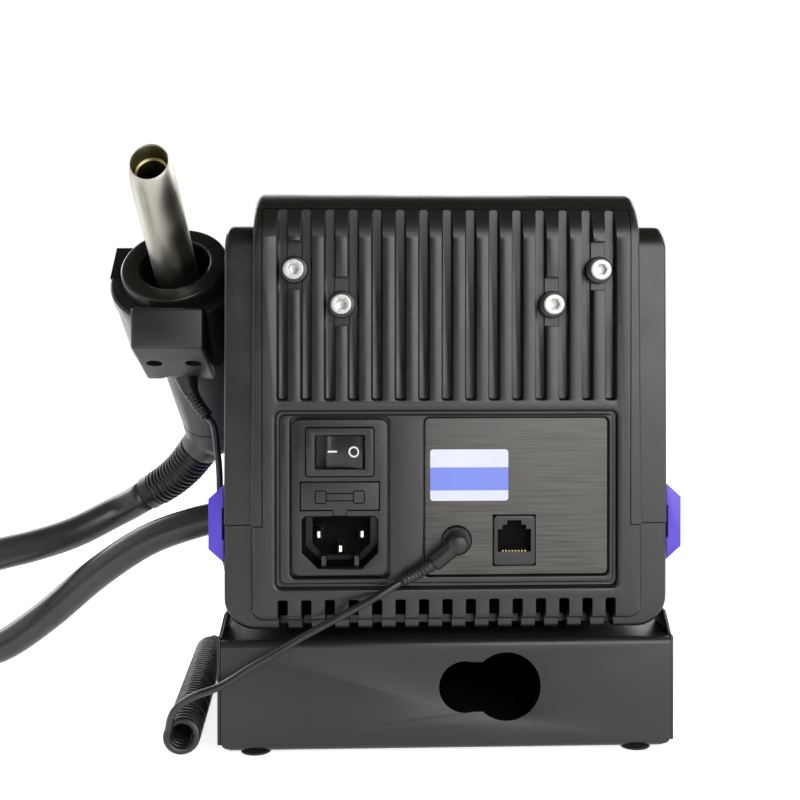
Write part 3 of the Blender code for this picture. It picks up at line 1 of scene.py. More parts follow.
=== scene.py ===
"""Looks of the hot air rework station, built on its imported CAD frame.

Shapes are made in the housing's own frame in millimetres: X is 0 on the
middle plane, Y is 0 on the back wall's outer face, Z is 0 on the bench.
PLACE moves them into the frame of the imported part.
"""
import math

import bmesh
import bpy
from mathutils import Matrix, Vector


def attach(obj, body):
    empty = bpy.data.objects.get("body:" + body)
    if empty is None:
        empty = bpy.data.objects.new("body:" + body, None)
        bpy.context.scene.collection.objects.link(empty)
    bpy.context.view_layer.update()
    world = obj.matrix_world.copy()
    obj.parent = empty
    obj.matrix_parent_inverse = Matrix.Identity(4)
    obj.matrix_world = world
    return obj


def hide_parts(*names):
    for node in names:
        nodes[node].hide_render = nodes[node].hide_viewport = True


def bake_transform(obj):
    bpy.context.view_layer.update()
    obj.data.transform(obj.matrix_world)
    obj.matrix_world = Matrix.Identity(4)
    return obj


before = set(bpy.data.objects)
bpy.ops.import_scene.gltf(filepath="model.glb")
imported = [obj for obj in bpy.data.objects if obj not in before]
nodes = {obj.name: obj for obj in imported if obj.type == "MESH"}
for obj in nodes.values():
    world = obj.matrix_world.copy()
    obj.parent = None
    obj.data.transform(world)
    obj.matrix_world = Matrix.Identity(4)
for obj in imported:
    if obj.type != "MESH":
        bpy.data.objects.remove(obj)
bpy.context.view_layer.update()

PLACE = Matrix.Translation((-0.02232, 0.1092, 0.0)) @ Matrix.Scale(0.001, 4)


# Materials

def new_material(name, colour, roughness, metallic=0.0):
    made = bpy.data.materials.new(name)
    made.use_nodes = True
    shader = made.node_tree.nodes["Principled BSDF"]
    shader.inputs["Base Color"].default_value = (*colour, 1.0)
    shader.inputs["Roughness"].default_value = roughness
    shader.inputs["Metallic"].default_value = metallic
    made.diffuse_color = (*colour, 1.0)
    return made, made.node_tree.nodes, made.node_tree.links, shader


def place_noise(tree_nodes, links, scale, detail=3.0, stretch=(1, 1, 1)):
    """A noise in the part's own coordinates, finer with a greater scale."""
    where = tree_nodes.new("ShaderNodeTexCoord")
    mapping = tree_nodes.new("ShaderNodeMapping")
    mapping.inputs["Scale"].default_value = stretch
    noise = tree_nodes.new("ShaderNodeTexNoise")
    noise.inputs["Scale"].default_value = scale
    noise.inputs["Detail"].default_value = detail
    links.new(where.outputs["Object"], mapping.inputs["Vector"])
    links.new(mapping.outputs["Vector"], noise.inputs["Vector"])
    return noise


def ramp_between(tree_nodes, links, source, low, high, start=0.35, end=0.65):
    """Map a noise to values from low to high."""
    step = tree_nodes.new("ShaderNodeMapRange")
    step.inputs["From Min"].default_value = start
    step.inputs["From Max"].default_value = end
    step.inputs["To Min"].default_value = low
    step.inputs["To Max"].default_value = high
    links.new(source, step.inputs["Value"])
    return step.outputs["Result"]


def vary_colour(tree_nodes, links, shader, noise, colour, spread):
    """Mix a darker and a lighter tone of one colour by a noise."""
    mix = tree_nodes.new("ShaderNodeMix")
    mix.data_type = "RGBA"
    mix.inputs["A"].default_value = (*[c * (1 - spread) for c in colour], 1.0)
    mix.inputs["B"].default_value = (*[min(1.0, c * (1 + spread)) for c in colour], 1.0)
    links.new(ramp_between(tree_nodes, links, noise.outputs["Fac"], 0, 1), mix.inputs["Factor"])
    links.new(mix.outputs["Result"], shader.inputs["Base Color"])


def add_bump(tree_nodes, links, shader, noise, strength, distance):
    bump = tree_nodes.new("ShaderNodeBump")
    bump.inputs["Strength"].default_value = strength
    bump.inputs["Distance"].default_value = distance
    links.new(noise.outputs["Fac"], bump.inputs["Height"])
    links.new(bump.outputs["Normal"], shader.inputs["Normal"])


def moulded(name, colour, roughness, grain=1500, bump=0.25, spread=0.1, metallic=0.0, depth=0.00006, gloss_level=0.5):
    """Moulded plastic, rubber or paint: fine grain, uneven gloss, slight tone changes."""
    made, tree_nodes, links, shader = new_material(name, colour, roughness, metallic)
    shader.inputs["Specular IOR Level"].default_value = gloss_level
    vary_colour(tree_nodes, links, shader, place_noise(tree_nodes, links, 45, 4), colour, spread)
    gloss = place_noise(tree_nodes, links, 70, 5)
    links.new(ramp_between(tree_nodes, links, gloss.outputs["Fac"], roughness - 0.05, roughness + 0.05),
              shader.inputs["Roughness"])
    add_bump(tree_nodes, links, shader, place_noise(tree_nodes, links, grain, 2), bump, depth)
    return made


def brushed(name, colour, roughness, stretch, metallic=1.0, spread=0.18, bump=0.3, scale=60):
    """Brushed metal: lines along the axis with the smallest stretch."""
    made, tree_nodes, links, shader = new_material(name, colour, roughness, metallic)
    lines = place_noise(tree_nodes, links, scale, 6, stretch)
    vary_colour(tree_nodes, links, shader, lines, colour, spread)
    links.new(ramp_between(tree_nodes, links, lines.outputs["Fac"], roughness - 0.08, roughness + 0.1),
              shader.inputs["Roughness"])
    add_bump(tree_nodes, links, shader, lines, bump, 0.00003)
    return made


looks = {
    "shell": moulded("shell_plastic", (0.0145, 0.0130, 0.0104), 0.31, bump=0.2),
    "shell_dark": moulded("module_plastic", (0.017, 0.0162, 0.0150), 0.3, bump=0.12, gloss_level=0.45),
    "grip": moulded("grip_plastic", (0.125, 0.12, 0.108), 0.4, bump=0.2),
    "cradle": moulded("cradle_plastic", (0.013, 0.0118, 0.0090), 0.3, bump=0.15, gloss_level=0.4),
    "sheet": moulded("base_paint", (0.0145, 0.0132, 0.0108), 0.33, grain=2600, bump=0.3),
    "rail": moulded("rail_plastic", (0.095, 0.055, 0.57), 0.36, bump=0.15, spread=0.05),
    "rubber": moulded("soft_rubber", (0.011, 0.0105, 0.009), 0.38, grain=900, bump=0.15, gloss_level=0.45),
    "hose": moulded("hose_rubber", (0.055, 0.055, 0.05), 0.32, grain=500, bump=0.12, spread=0.16),
    "cord": moulded("cord_rubber", (0.014, 0.0138, 0.013), 0.3, grain=1200, bump=0.1),
    "tube": brushed("nozzle_steel", (0.45, 0.43, 0.37), 0.36, (1, 1, 1), spread=0.1, bump=0.06, scale=60),
    "liner": brushed("liner_brass", (0.25, 0.22, 0.11), 0.32, (1, 1, 1), spread=0.25, bump=0.1),
    "screw": brushed("screw_steel", (0.47, 0.47, 0.445), 0.48, (1, 1, 1), spread=0.08, bump=0.05, scale=200),
    "pin": brushed("contact_metal", (0.8, 0.78, 0.7), 0.25, (1, 1, 1), spread=0.08, bump=0.05, scale=300),
    "gold": brushed("contact_gold", (0.85, 0.66, 0.28), 0.28, (1, 1, 1), spread=0.08, bump=0.05, scale=300),
    "plate": brushed("plate_brushed", (0.072, 0.070, 0.063), 0.4, (1.6, 1, 60), metallic=0.75,
                     spread=0.3, bump=0.25, scale=28),
    "white": moulded("print_white", (0.8, 0.8, 0.8), 0.5, bump=0.02, spread=0.02),
    # line: near-black with almost no gloss. It prints the fuse symbol, and elsewhere it is painted shade laid into the
    # inlet's mouth, the data socket, the guard ring's hole and the seam round the rocker's bezel.
    "line": moulded("print_and_painted_shade", (0.004, 0.0038, 0.003), 0.6, bump=0.02, gloss_level=0.05),
    "label_white": moulded("label_white", (0.72, 0.74, 0.86), 0.34, bump=0.03, spread=0.03),
    "label_blue": moulded("label_blue", (0.19, 0.25, 0.75), 0.34, bump=0.03, spread=0.04),
    "ceramic": moulded("heater_ceramic", (0.66, 0.6, 0.5), 0.6, bump=0.3),
    "glass": moulded("display_pane", (0.008, 0.009, 0.014), 0.1, bump=0.0, spread=0.05),
    "board": moulded("circuit_board", (0.02, 0.13, 0.06), 0.45),
    "knob": moulded("knob_plastic", (0.05, 0.05, 0.052), 0.4),
    "pump": moulded("pump_paint", (0.2, 0.2, 0.2), 0.45, metallic=0.3),
    "flag": new_material("flag_black", (0.01, 0.01, 0.01), 0.9)[0],
}


# Shapes

def arc(centre_a, centre_b, radius, start, end, steps):
    made = []
    for index in range(steps + 1):
        angle = math.radians(start + (end - start) * index / steps)
        made.append((centre_a + radius * math.cos(angle), centre_b + radius * math.sin(angle)))
    return made


def rounded(low_a, high_a, low_b, high_b, radius, steps=8):
    points = arc(high_a - radius, low_b + radius, radius, -90, 0, steps)
    points += arc(high_a - radius, high_b - radius, radius, 0, 90, steps)
    points += arc(low_a + radius, high_b - radius, radius, 90, 180, steps)
    points += arc(low_a + radius, low_b + radius, radius, 180, 270, steps)
    return points


def stack(rings, places, axis="Y"):
    """Closed outlines that follow one another along an axis, as one body."""
    maker = bmesh.new()
    placed = {
        "X": lambda a, b, along: (along, a, b),
        "Y": lambda a, b, along: (a, along, b),
        "Z": lambda a, b, along: (a, b, along),
    }[axis]
    made = []
    for outline, along in zip(rings, places):
        made.append([maker.verts.new(placed(a, b, along)) for a, b in outline])
    maker.faces.new(made[0])
    maker.faces.new(made[-1][::-1])
    count = len(made[0])
    for lower, upper in zip(made, made[1:]):
        for index in range(count):
            after = (index + 1) % count
            maker.faces.new((lower[index], upper[index], upper[after], lower[after]))
    return maker


def prism(outline, low, high, axis="Y"):
    return stack([outline, outline], [low, high], axis)


def block(x_low, x_high, y_low, y_high, z_low, z_high):
    outline = [(x_low, z_low), (x_high, z_low), (x_high, z_high), (x_low, z_high)]
    return prism(outline, y_low, y_high)


def eased(outline_at, low, high, edge, steps=5, axis="Y"):
    """Push an outline from low to high and round the edge at high."""
    way = 1 if high > low else -1
    rings, places = [outline_at(0)], [low]
    for step in range(steps + 1):
        angle = math.pi / 2 * step / steps
        rings.append(outline_at(edge * (1 - math.cos(angle))))
        places.append(high - way * edge * (1 - math.sin(angle)))
    return stack(rings, places, axis)


def flared(outline_at, floor, face, lip, steps=4, floor_round=0.0):
    """A cutter that leaves a round lip where it meets the face at y = face."""
    rings, places = [], []
    if floor_round:
        for step in range(steps):
            angle = math.pi / 2 * step / steps
            rings.append(outline_at(-floor_round * (1 - math.sin(angle))))
            places.append(floor + floor_round * (1 - math.cos(angle)))
    else:
        rings.append(outline_at(0))
        places.append(floor)
    for step in range(steps + 1):
        angle = math.pi / 2 * step / steps
        rings.append(outline_at(lip * (1 - math.cos(angle))))
        places.append(face - lip * (1 - math.sin(angle)))
    rings.append(outline_at(lip * 1.02))
    places.append(face + 2)
    return stack(rings, places)


def turned(profile, sides=48, shape=None):
    """A closed loop of (radius, height) points turned about Z."""
    maker = bmesh.new()
    rings = []
    for radius, height in profile:
        if radius == 0:
            rings.append([maker.verts.new((0, 0, height))] * sides)
            continue
        ring = []
        for index in range(sides):
            angle = math.tau * index / sides
            point = Vector((radius * math.cos(angle), radius * math.sin(angle), height))
            ring.append(maker.verts.new(shape(point) if shape else point))
        rings.append(ring)
    for index in range(len(rings)):
        lower, upper = rings[index], rings[(index + 1) % len(rings)]
        for side in range(sides):
            after = (side + 1) % sides
            unique = list(dict.fromkeys([lower[side], lower[after], upper[after], upper[side]]))
            if len(unique) > 2:
                maker.faces.new(unique)
    return maker


def disc(radius, low, high, sides=40):
    return turned([(0, low), (radius, low), (radius, high), (0, high)], sides)


def aimed(point, direction):
    turn = Vector(direction).to_track_quat("Z", "Y").to_matrix().to_4x4()
    return Matrix.Translation(Vector(point)) @ turn


def moved(maker, matrix):
    bmesh.ops.transform(maker, matrix=matrix, verts=maker.verts)
    return maker


def swept(points, radii, sides):
    """Round sections of the given radii along a path, closed at both ends."""
    maker = bmesh.new()
    path = [Vector(point) for point in points]
    side_way = (path[1] - path[0]).orthogonal().normalized()
    rings = []
    for index, centre in enumerate(path):
        before, after = path[max(index - 1, 0)], path[min(index + 1, len(path) - 1)]
        tangent = (after - before).normalized()
        side_way = (side_way - tangent * side_way.dot(tangent)).normalized()
        other_way = tangent.cross(side_way)
        ring = []
        for side in range(sides):
            angle = math.tau * side / sides
            way = side_way * math.cos(angle) + other_way * math.sin(angle)
            ring.append(maker.verts.new(centre + way * radii[index]))
        rings.append(ring)
    for lower, upper in zip(rings, rings[1:]):
        for side in range(sides):
            after = (side + 1) % sides
            maker.faces.new((lower[side], lower[after], upper[after], upper[side]))
    maker.faces.new(rings[0][::-1])
    maker.faces.new(rings[-1])
    return maker


def smooth_route(points, spacing):
    """Evenly spaced points of a smooth curve through the route's points."""
    knots = [Vector(point) for point in points]
    knots = [knots[0] * 2 - knots[1]] + knots + [knots[-1] * 2 - knots[-2]]
    fine = []
    for first, second, third, fourth in zip(knots, knots[1:], knots[2:], knots[3:]):
        for step in range(24):
            t = step / 24
            fine.append(0.5 * (2 * second + (third - first) * t
                               + (2 * first - 5 * second + 4 * third - fourth) * t * t
                               + (3 * second - first - 3 * third + fourth) * t ** 3))
    fine.append(knots[-2])
    travelled = [0.0]
    for before, after in zip(fine, fine[1:]):
        travelled.append(travelled[-1] + (after - before).length)
    count = max(2, round(travelled[-1] / spacing))
    even = []
    index = 0
    for step in range(count + 1):
        target = travelled[-1] * step / count
        while index < len(fine) - 2 and travelled[index + 1] < target:
            index += 1
        part = (target - travelled[index]) / (travelled[index + 1] - travelled[index])
        even.append(fine[index].lerp(fine[index + 1], min(part, 1.0)))
    return even


def as_object(maker, name, look=None):
    """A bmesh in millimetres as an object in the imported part's frame."""
    bmesh.ops.remove_doubles(maker, verts=maker.verts, dist=1e-4)
    bmesh.ops.recalc_face_normals(maker, faces=maker.faces)
    mesh = bpy.data.meshes.new(name)
    maker.to_mesh(mesh)
    maker.free()
    mesh.transform(PLACE)
    made = bpy.data.objects.new(name, mesh)
    bpy.context.scene.collection.objects.link(made)
    if look:
        mesh.materials.append(looks[look])
    return made


def combine(target, tool, operation):
    step = target.modifiers.new("shape", "BOOLEAN")
    step.operation = operation
    step.solver = "EXACT"
    step.object = tool
    return settle(target, [tool])


def settle(target, tools=()):
    """Apply an object's modifiers and remove its tools."""
    graph = bpy.context.evaluated_depsgraph_get()
    result = bpy.data.meshes.new_from_object(target.evaluated_get(graph))
    old = target.data
    target.modifiers.clear()
    target.data = result
    bpy.data.meshes.remove(old)
    for tool in tools:
        bpy.data.objects.remove(tool)
    return target


def cut(target, maker):
    return combine(target, as_object(maker, "cutter"), "DIFFERENCE")


def join(target, maker):
    return combine(target, as_object(maker, "adder"), "UNION")


def soften(target, width, segments=3, angle=40):
    """Round the sharp edges by a width in millimetres."""
    step = target.modifiers.new("soften", "BEVEL")
    step.width = width * 0.001
    step.segments = segments
    step.limit_method = "ANGLE"
    step.angle_limit = math.radians(angle)
    step.use_clamp_overlap = True
    step.harden_normals = False
    return settle(target)


def finish_piece(target, body, replaced=(), angle=35):
    target.data.shade_smooth()
    target.data.set_sharp_from_angle(angle=math.radians(angle))
    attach(target, body)
    if replaced:
        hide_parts(*replaced)
    return target


def dress(look, *names):
    """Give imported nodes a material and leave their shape."""
    for name in names:
        mesh = nodes[name].data
        mesh.materials.clear()
        mesh.materials.append(looks[look])


# Housing

WALL = 70.7
WALL_DRAFT = 0.5
SPINE = 61.8
SPINE_DRAFT = 1.0
SHOULDER_Z = 167.3
SPINE_Z = 178.0
SHOULDER_CURVE = 8.5
SPINE_CURVE = 17.0
CORNER = 2.4
EDGE = 1.0
PARTING_Z = 72.0
BOTTOM_Z = 38.6
REAR = -4.0
FRONT = -203.0
THICK = 6.5
BACK_HALF = 58.0
BACK_TOP = 172.0


def side_x(z, inset):
    """Half width of the shell at a height; it narrows a little upwards."""
    return WALL - inset - WALL_DRAFT * max(z - PARTING_Z, 0.0) / (SHOULDER_Z - PARTING_Z)


def spine_x(z, inset):
    """Half width of the spine at a height; it narrows a little upwards."""
    return SPINE - inset - SPINE_DRAFT * max(z - PARTING_Z, 0.0) / (SPINE_Z - PARTING_Z)


def curved_top(top, curve, y, rear):
    """Height of a top edge that curves down to the back of the housing."""
    way_in = rear - y
    if way_in >= curve:
        return top
    return top - curve + math.sqrt(curve * curve - (curve - way_in) ** 2)


def upper_outline(inset, low, y=FRONT):
    shoulder = curved_top(SHOULDER_Z, SHOULDER_CURVE, y, REAR) - inset
    top = curved_top(SPINE_Z, SPINE_CURVE, y, 0) - inset
    corner = max(CORNER - inset, 1.0)
    right = [(side_x(low, inset), low)]
    right += arc(side_x(shoulder - corner, inset) - corner, shoulder - corner, corner, 0, 90, 8)
    right += [(spine_x(shoulder, inset), shoulder)]
    right += arc(spine_x(top - corner, inset) - corner, top - corner, corner, 0, 90, 8)
    return right + [(-a, b) for a, b in reversed(right)]


def lower_outline(inset, high):
    half, bottom = WALL - inset, BOTTOM_Z + inset
    corner = max(10.0 - inset, 2.5)
    left = [(-half, high)] + arc(-half + corner, bottom + corner, corner, 180, 270, 12)
    return left + [(-a, b) for a, b in reversed(left)]


def spine_outline(inset, low, y):
    top = curved_top(SPINE_Z, SPINE_CURVE, y, 0) - inset
    corner = max(CORNER - inset, 1.0)
    right = [(spine_x(low, inset), low)] + arc(spine_x(top - corner, inset) - corner, top - corner, corner, 0, 90, 8)
    return right + [(-a, b) for a, b in reversed(right)]


def low_spine_outline(inset, high):
    half, low = SPINE - inset, BOTTOM_Z + 3.6 + inset
    corner = max(CORNER + 1.6 - inset, 1.0)
    left = [(-half, high)] + arc(-half + corner, low + corner, corner, 180, 270, 8)
    return left + [(-a, b) for a, b in reversed(left)]


def curved_body(outline_at, rear, front, curve, edge):
    """Outlines along Y that close in on the rear as the edges there ask."""
    depths = {0.0, rear - front}
    for step in range(1, 13):
        depths.add(edge * (1 - math.cos(math.pi / 2 * step / 12)))
        depths.add(curve * (1 - math.cos(math.pi / 2 * step / 12)))
    rings, places = [], []
    for depth in sorted(d for d in depths if d <= rear - front):
        inset = edge - math.sqrt(edge * edge - (edge - depth) ** 2) if depth < edge else 0.0
        rings.append(outline_at(inset, rear - depth))
        places.append(rear - depth)
    return stack(rings, places)


def make_upper_shell():
    low = PARTING_Z + 0.15
    body = curved_body(lambda i, y: upper_outline(i, low, y), REAR, FRONT, SPINE_CURVE, EDGE)
    shell = as_object(body, "upper_shell_fine", "shell")
    join(shell, curved_body(lambda i, y: spine_outline(i, low, y), 0, -THICK, SPINE_CURVE, EDGE))
    cut(shell, prism(upper_outline(2.5, low - 1), -20, FRONT - 1))
    half = BACK_HALF + 0.3
    cut(shell, block(-half, half, -20.5, -THICK + 0.1, low - 1, 155))
    cut(shell, block(-half, half, -THICK, 1, low - 1, BACK_TOP + 0.25))
    finish_piece(shell, "station", ["upper_shell"])


PITCH = 7.4
GROOVE = 4.3
GROOVE_FLOOR = 2.5
GROOVE_LOW = 111.2
GROOVE_DEPTH = 4.6
LIP = 0.35


def groove_cutter(centre):
    """Drafted walls, a flat floor and a round lip, up to the top of the back."""
    rings, places = [], []
    for half, y in [(GROOVE_FLOOR / 2, -GROOVE_DEPTH), (GROOVE_FLOOR / 2 + 0.25, -GROOVE_DEPTH + 0.15),
                    (GROOVE / 2 - LIP, -LIP), (GROOVE / 2 - LIP * 0.7, -LIP * 0.3), (GROOVE / 2, 0.0),
                    (GROOVE / 2 + 0.1, 1.0)]:
        low = GROOVE_LOW + GROOVE / 2 - half
        rings.append(rounded(centre - half, centre + half, low, BACK_TOP - 0.05, min(0.9, half * 0.6), 4))
        places.append(y)
    return stack(rings, places)


def box_outline(x_low, x_high, z_low, z_high, radius, offset):
    return rounded(x_low - offset, x_high + offset, z_low - offset, z_high + offset,
                   max(radius + offset, 0.15), 6)


SCREWS = ((6.5, 152.7), (4.5, 141.8), (-4.5, 141.8), (-6.5, 152.7))
INLET_X, INLET_Z = 33.9, 80.9
PLATE_X, PLATE_Z = -22.0, 81.0
POCKET_Y = -3.8


def make_lower_shell():
    high = PARTING_Z - 0.15
    shell = as_object(eased(lambda i: lower_outline(i, high), FRONT, REAR, 2.0), "lower_shell_fine", "shell")
    join(shell, eased(lambda i: low_spine_outline(i, high), -THICK, 0.0, 2.2))
    cut(shell, prism(lower_outline(2.5, high + 1), -THICK, FRONT - 1))
    top = BACK_TOP
    end = math.degrees(math.asin((top - SPINE_Z + SPINE_CURVE) / SPINE_CURVE))
    section = [(0, PARTING_Z - 1)] + arc(-SPINE_CURVE, SPINE_Z - SPINE_CURVE, SPINE_CURVE, 0, end, 14)
    section += [(-THICK - 0.5, top), (-THICK - 0.5, 150), (-THICK, 148), (-THICK, PARTING_Z - 1)]
    join(shell, prism(section, -BACK_HALF, BACK_HALF, "X"))
    for index in range(15):
        centre = (index - 7) * PITCH
        cut(shell, groove_cutter(centre))
        cut(shell, flared(lambda o, c=centre: box_outline(c - 1.55, c + 1.55, BOTTOM_Z - 3, 48.8, 0.6, o),
                          -14.0, 0, 0.3, 3))
    for pitches, z in SCREWS:
        x = pitches * PITCH
        half = PITCH - GROOVE / 2 - 0.2
        above, below = (9.3, 6.6) if z > 150 else (8.9, 7.1)
        cut(shell, flared(lambda o: box_outline(x - half + LIP, x + half - LIP, z - below + LIP, z + above - LIP,
                                                1.0, o), -GROOVE_DEPTH + 1.2, 0, LIP, 3))
        boss = [(0, -GROOVE_DEPTH - 0.5), (4.3, -GROOVE_DEPTH - 0.5), (4.3, -0.6), (4.1, -0.2), (3.7, 0), (0, 0)]
        join(shell, moved(turned(boss, 32), aimed((x, 0, z), (0, 1, 0))))
        cut(shell, moved(disc(2.2, -THICK - 1, 1, 20), aimed((x, 0, z), (0, 1, 0))))
    cut(shell, flared(lambda o: box_outline(-55.2 + 1.2, 55.2 - 1.2, 51.3 + 1.2, 109.4 - 1.2, 2.0, o),
                      -2.7, 0, 1.2, 6, 0.4))
    join(shell, eased(lambda i: box_outline(-52.9, 52.9, 53.6, 107.1, 1.8, -i), -THICK + 1, -1.3, 0.7))
    for x, z, half_w, half_h, floor in ((INLET_X, INLET_Z, 16.3, 26.1, -5.6), (PLATE_X, PLATE_Z, 30.05, 25.8, -4.6)):
        cut(shell, flared(lambda o: box_outline(x - half_w + 0.6, x + half_w - 0.6, z - half_h + 0.6,
                                                z + half_h - 0.6, 1.8, o), floor, -1.3, 0.6, 4))
    cut(shell, block(INLET_X - 14, INLET_X + 14, -THICK - 1, 1, INLET_Z - 23.6, INLET_Z + 23.6))
    cut(shell, block(-28.2, -14.4, -THICK - 1, 1, 58.8, 75.2))
    cut(shell, moved(disc(4.9, -THICK - 1, 1), aimed((-3, 0, 67), (0, 1, 0))))
    cut(shell, moved(disc(7.0, -8, 8), aimed((WALL, -105, 60), (1, 0, 0))))
    for x in (-44, 44):
        for y in (REAR - 30, FRONT + 30):
            join(shell, moved(disc(6, 36.1, 39.8, 24), Matrix.Translation((x, y, 0))))
    finish_piece(shell, "station", ["lower_shell"], 30)


def make_screws():
    for index, (pitches, z) in enumerate(SCREWS):
        profile = [(0, -6), (1.9, -6), (1.9, 0.3), (3.3, 0.3), (3.3, 3.2), (3.22, 3.5), (3.0, 3.7), (0, 3.7)]
        screw = as_object(moved(turned(profile, 40), aimed((pitches * PITCH, 0, z), (0, 1, 0))),
                          f"cover_screw_{index + 1}_fine", "screw")
        cut(screw, moved(disc(1.75, 1.6, 5, 6), aimed((pitches * PITCH, 0, z), (0, 1, 0))))
        soften(screw, 0.12, 2)
        finish_piece(screw, "station", [f"cover_screw_{index + 1}"])


def make_rails():
    for name, side in (("side_rail_left", 1), ("side_rail_right", -1)):
        inner, outer, deep = side * (WALL + 0.3), side * (WALL + 5.2), side * (WALL + 0.9)
        middle = PARTING_Z
        outline = [(inner, middle - 12.45), (outer, middle - 8.0), (outer, middle + 8.0), (inner, middle + 12.45),
                   (inner, middle + 5.1), (deep, middle + 5.1), (deep, middle - 5.1), (inner, middle - 5.1)]
        rail = as_object(prism(outline, REAR - 3, FRONT + 3), name + "_fine", "rail")
        if side > 0:
            cut(rail, moved(disc(9.5, -12, 12), aimed((WALL, -105, 60), (1, 0, 0))))
        soften(rail, 0.35, 3)
        finish_piece(rail, "station", [name])


# Base

BASE_HALF = 71.3
BASE_TOP = 35.8


def make_base():
    def section(inset):
        radius = max(2.2 - inset, 0.8)
        rear, front, top = -1.5 - inset, -197.5 + inset, BASE_TOP - inset
        bend, skirt = 1.8 - inset, 1.0
        return (arc(rear - bend, skirt + inset + bend, bend, -80, 0, 8) + arc(rear - radius, top - radius, radius, 0, 90, 8)
                + arc(front + radius, top - radius, radius, 90, 180, 8)
                + arc(front + bend, skirt + inset + bend, bend, 180, 260, 8))
    cover = as_object(prism(section(0) + section(1.0)[::-1], -BASE_HALF, BASE_HALF, "X"), "base_cover_fine", "sheet")
    for x, radius in ((-18.8, 10.9), (-5.6, 8.2)):
        cut(cover, moved(disc(radius, -10, 10, 64), aimed((x, -1.5, 20.6), (0, 1, 0))))
    cut(cover, block(-18.8, -5.6, -12, 8, 20.6 - 7.9, 20.6 + 7.9))
    for side in (-1, 1):
        corner = [(side * (BASE_HALF + 1), 0), (side * (BASE_HALF + 1), 4.2)]
        corner += [(side * (BASE_HALF - 2.6 + 2.6 * math.cos(math.radians(a))), 4.2 - 2.6 * math.sin(math.radians(a)))
                   for a in range(0, 91, 10)] + [(side * (BASE_HALF - 2.6), 0)]
        cut(cover, prism(corner, -200, 2))
    soften(cover, 0.2, 2)
    finish_piece(cover, "station", ["base_cover"])
    inner, outer = BASE_HALF + 0.3, BASE_HALF + 1.3
    ear_top = BASE_TOP + 7.6
    right = [(inner, 3.6), (inner, BASE_TOP), (inner - 1.8, ear_top), (outer - 1.8, ear_top), (outer, BASE_TOP),
             (outer, 2.6)]
    low_y, high_y = -197.5 + 1.5, -1.5 - 1.5
    tray = as_object(prism(right + [(-a, b) for a, b in reversed(right)], low_y, high_y), "base_tray_fine", "sheet")
    ears = [high_y + 1, high_y - 3, high_y - 23, low_y + 23, low_y + 3, low_y - 1]
    for start, end in zip(ears[::2], ears[1::2]):
        cut(tray, block(-75, 75, end, start, BASE_TOP, 46))
    soften(tray, 0.2, 2)
    finish_piece(tray, "station", ["base_tray"])
    for index, (side, y) in enumerate(((1, -5.3), (-1, -5.3), (1, -193.7), (-1, -193.7))):
        foot = [(0, 0), (4.6, 0), (4.8, 0.2), (4.8, 0.6), (4.6, 0.8), (0, 0.8)]
        pad = as_object(moved(turned(foot, 40), Matrix.Translation((side * 60.6, y, 0))), f"foot_{index + 1}_fine", "rubber")
        finish_piece(pad, "station", [f"foot_{index + 1}"])


# Power inlet module

FACE = -1.5


def strip(name, points, width, y, look, closed=False, body="station"):
    """A thin flat line of the given width that lies on a plane at y."""
    curve = bpy.data.curves.new(name, "CURVE")
    curve.dimensions = "3D"
    curve.bevel_depth = width * 0.0005
    curve.bevel_resolution = 1
    spline = curve.splines.new("POLY")
    spline.points.add(len(points) - 1)
    for knot, (x, z) in zip(spline.points, points):
        knot.co = (*(PLACE @ Vector((x, y, z))), 1.0)
    spline.use_cyclic_u = closed
    made = bpy.data.objects.new(name, curve)
    bpy.context.scene.collection.objects.link(made)
    graph = bpy.context.evaluated_depsgraph_get()
    mesh = bpy.data.meshes.new_from_object(made.evaluated_get(graph))
    bpy.data.objects.remove(made)
    made = bpy.data.objects.new(name, mesh)
    bpy.context.scene.collection.objects.link(made)
    mesh.materials.clear()
    mesh.materials.append(looks[look])
    mesh.shade_smooth()
    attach(made, body)
    return made


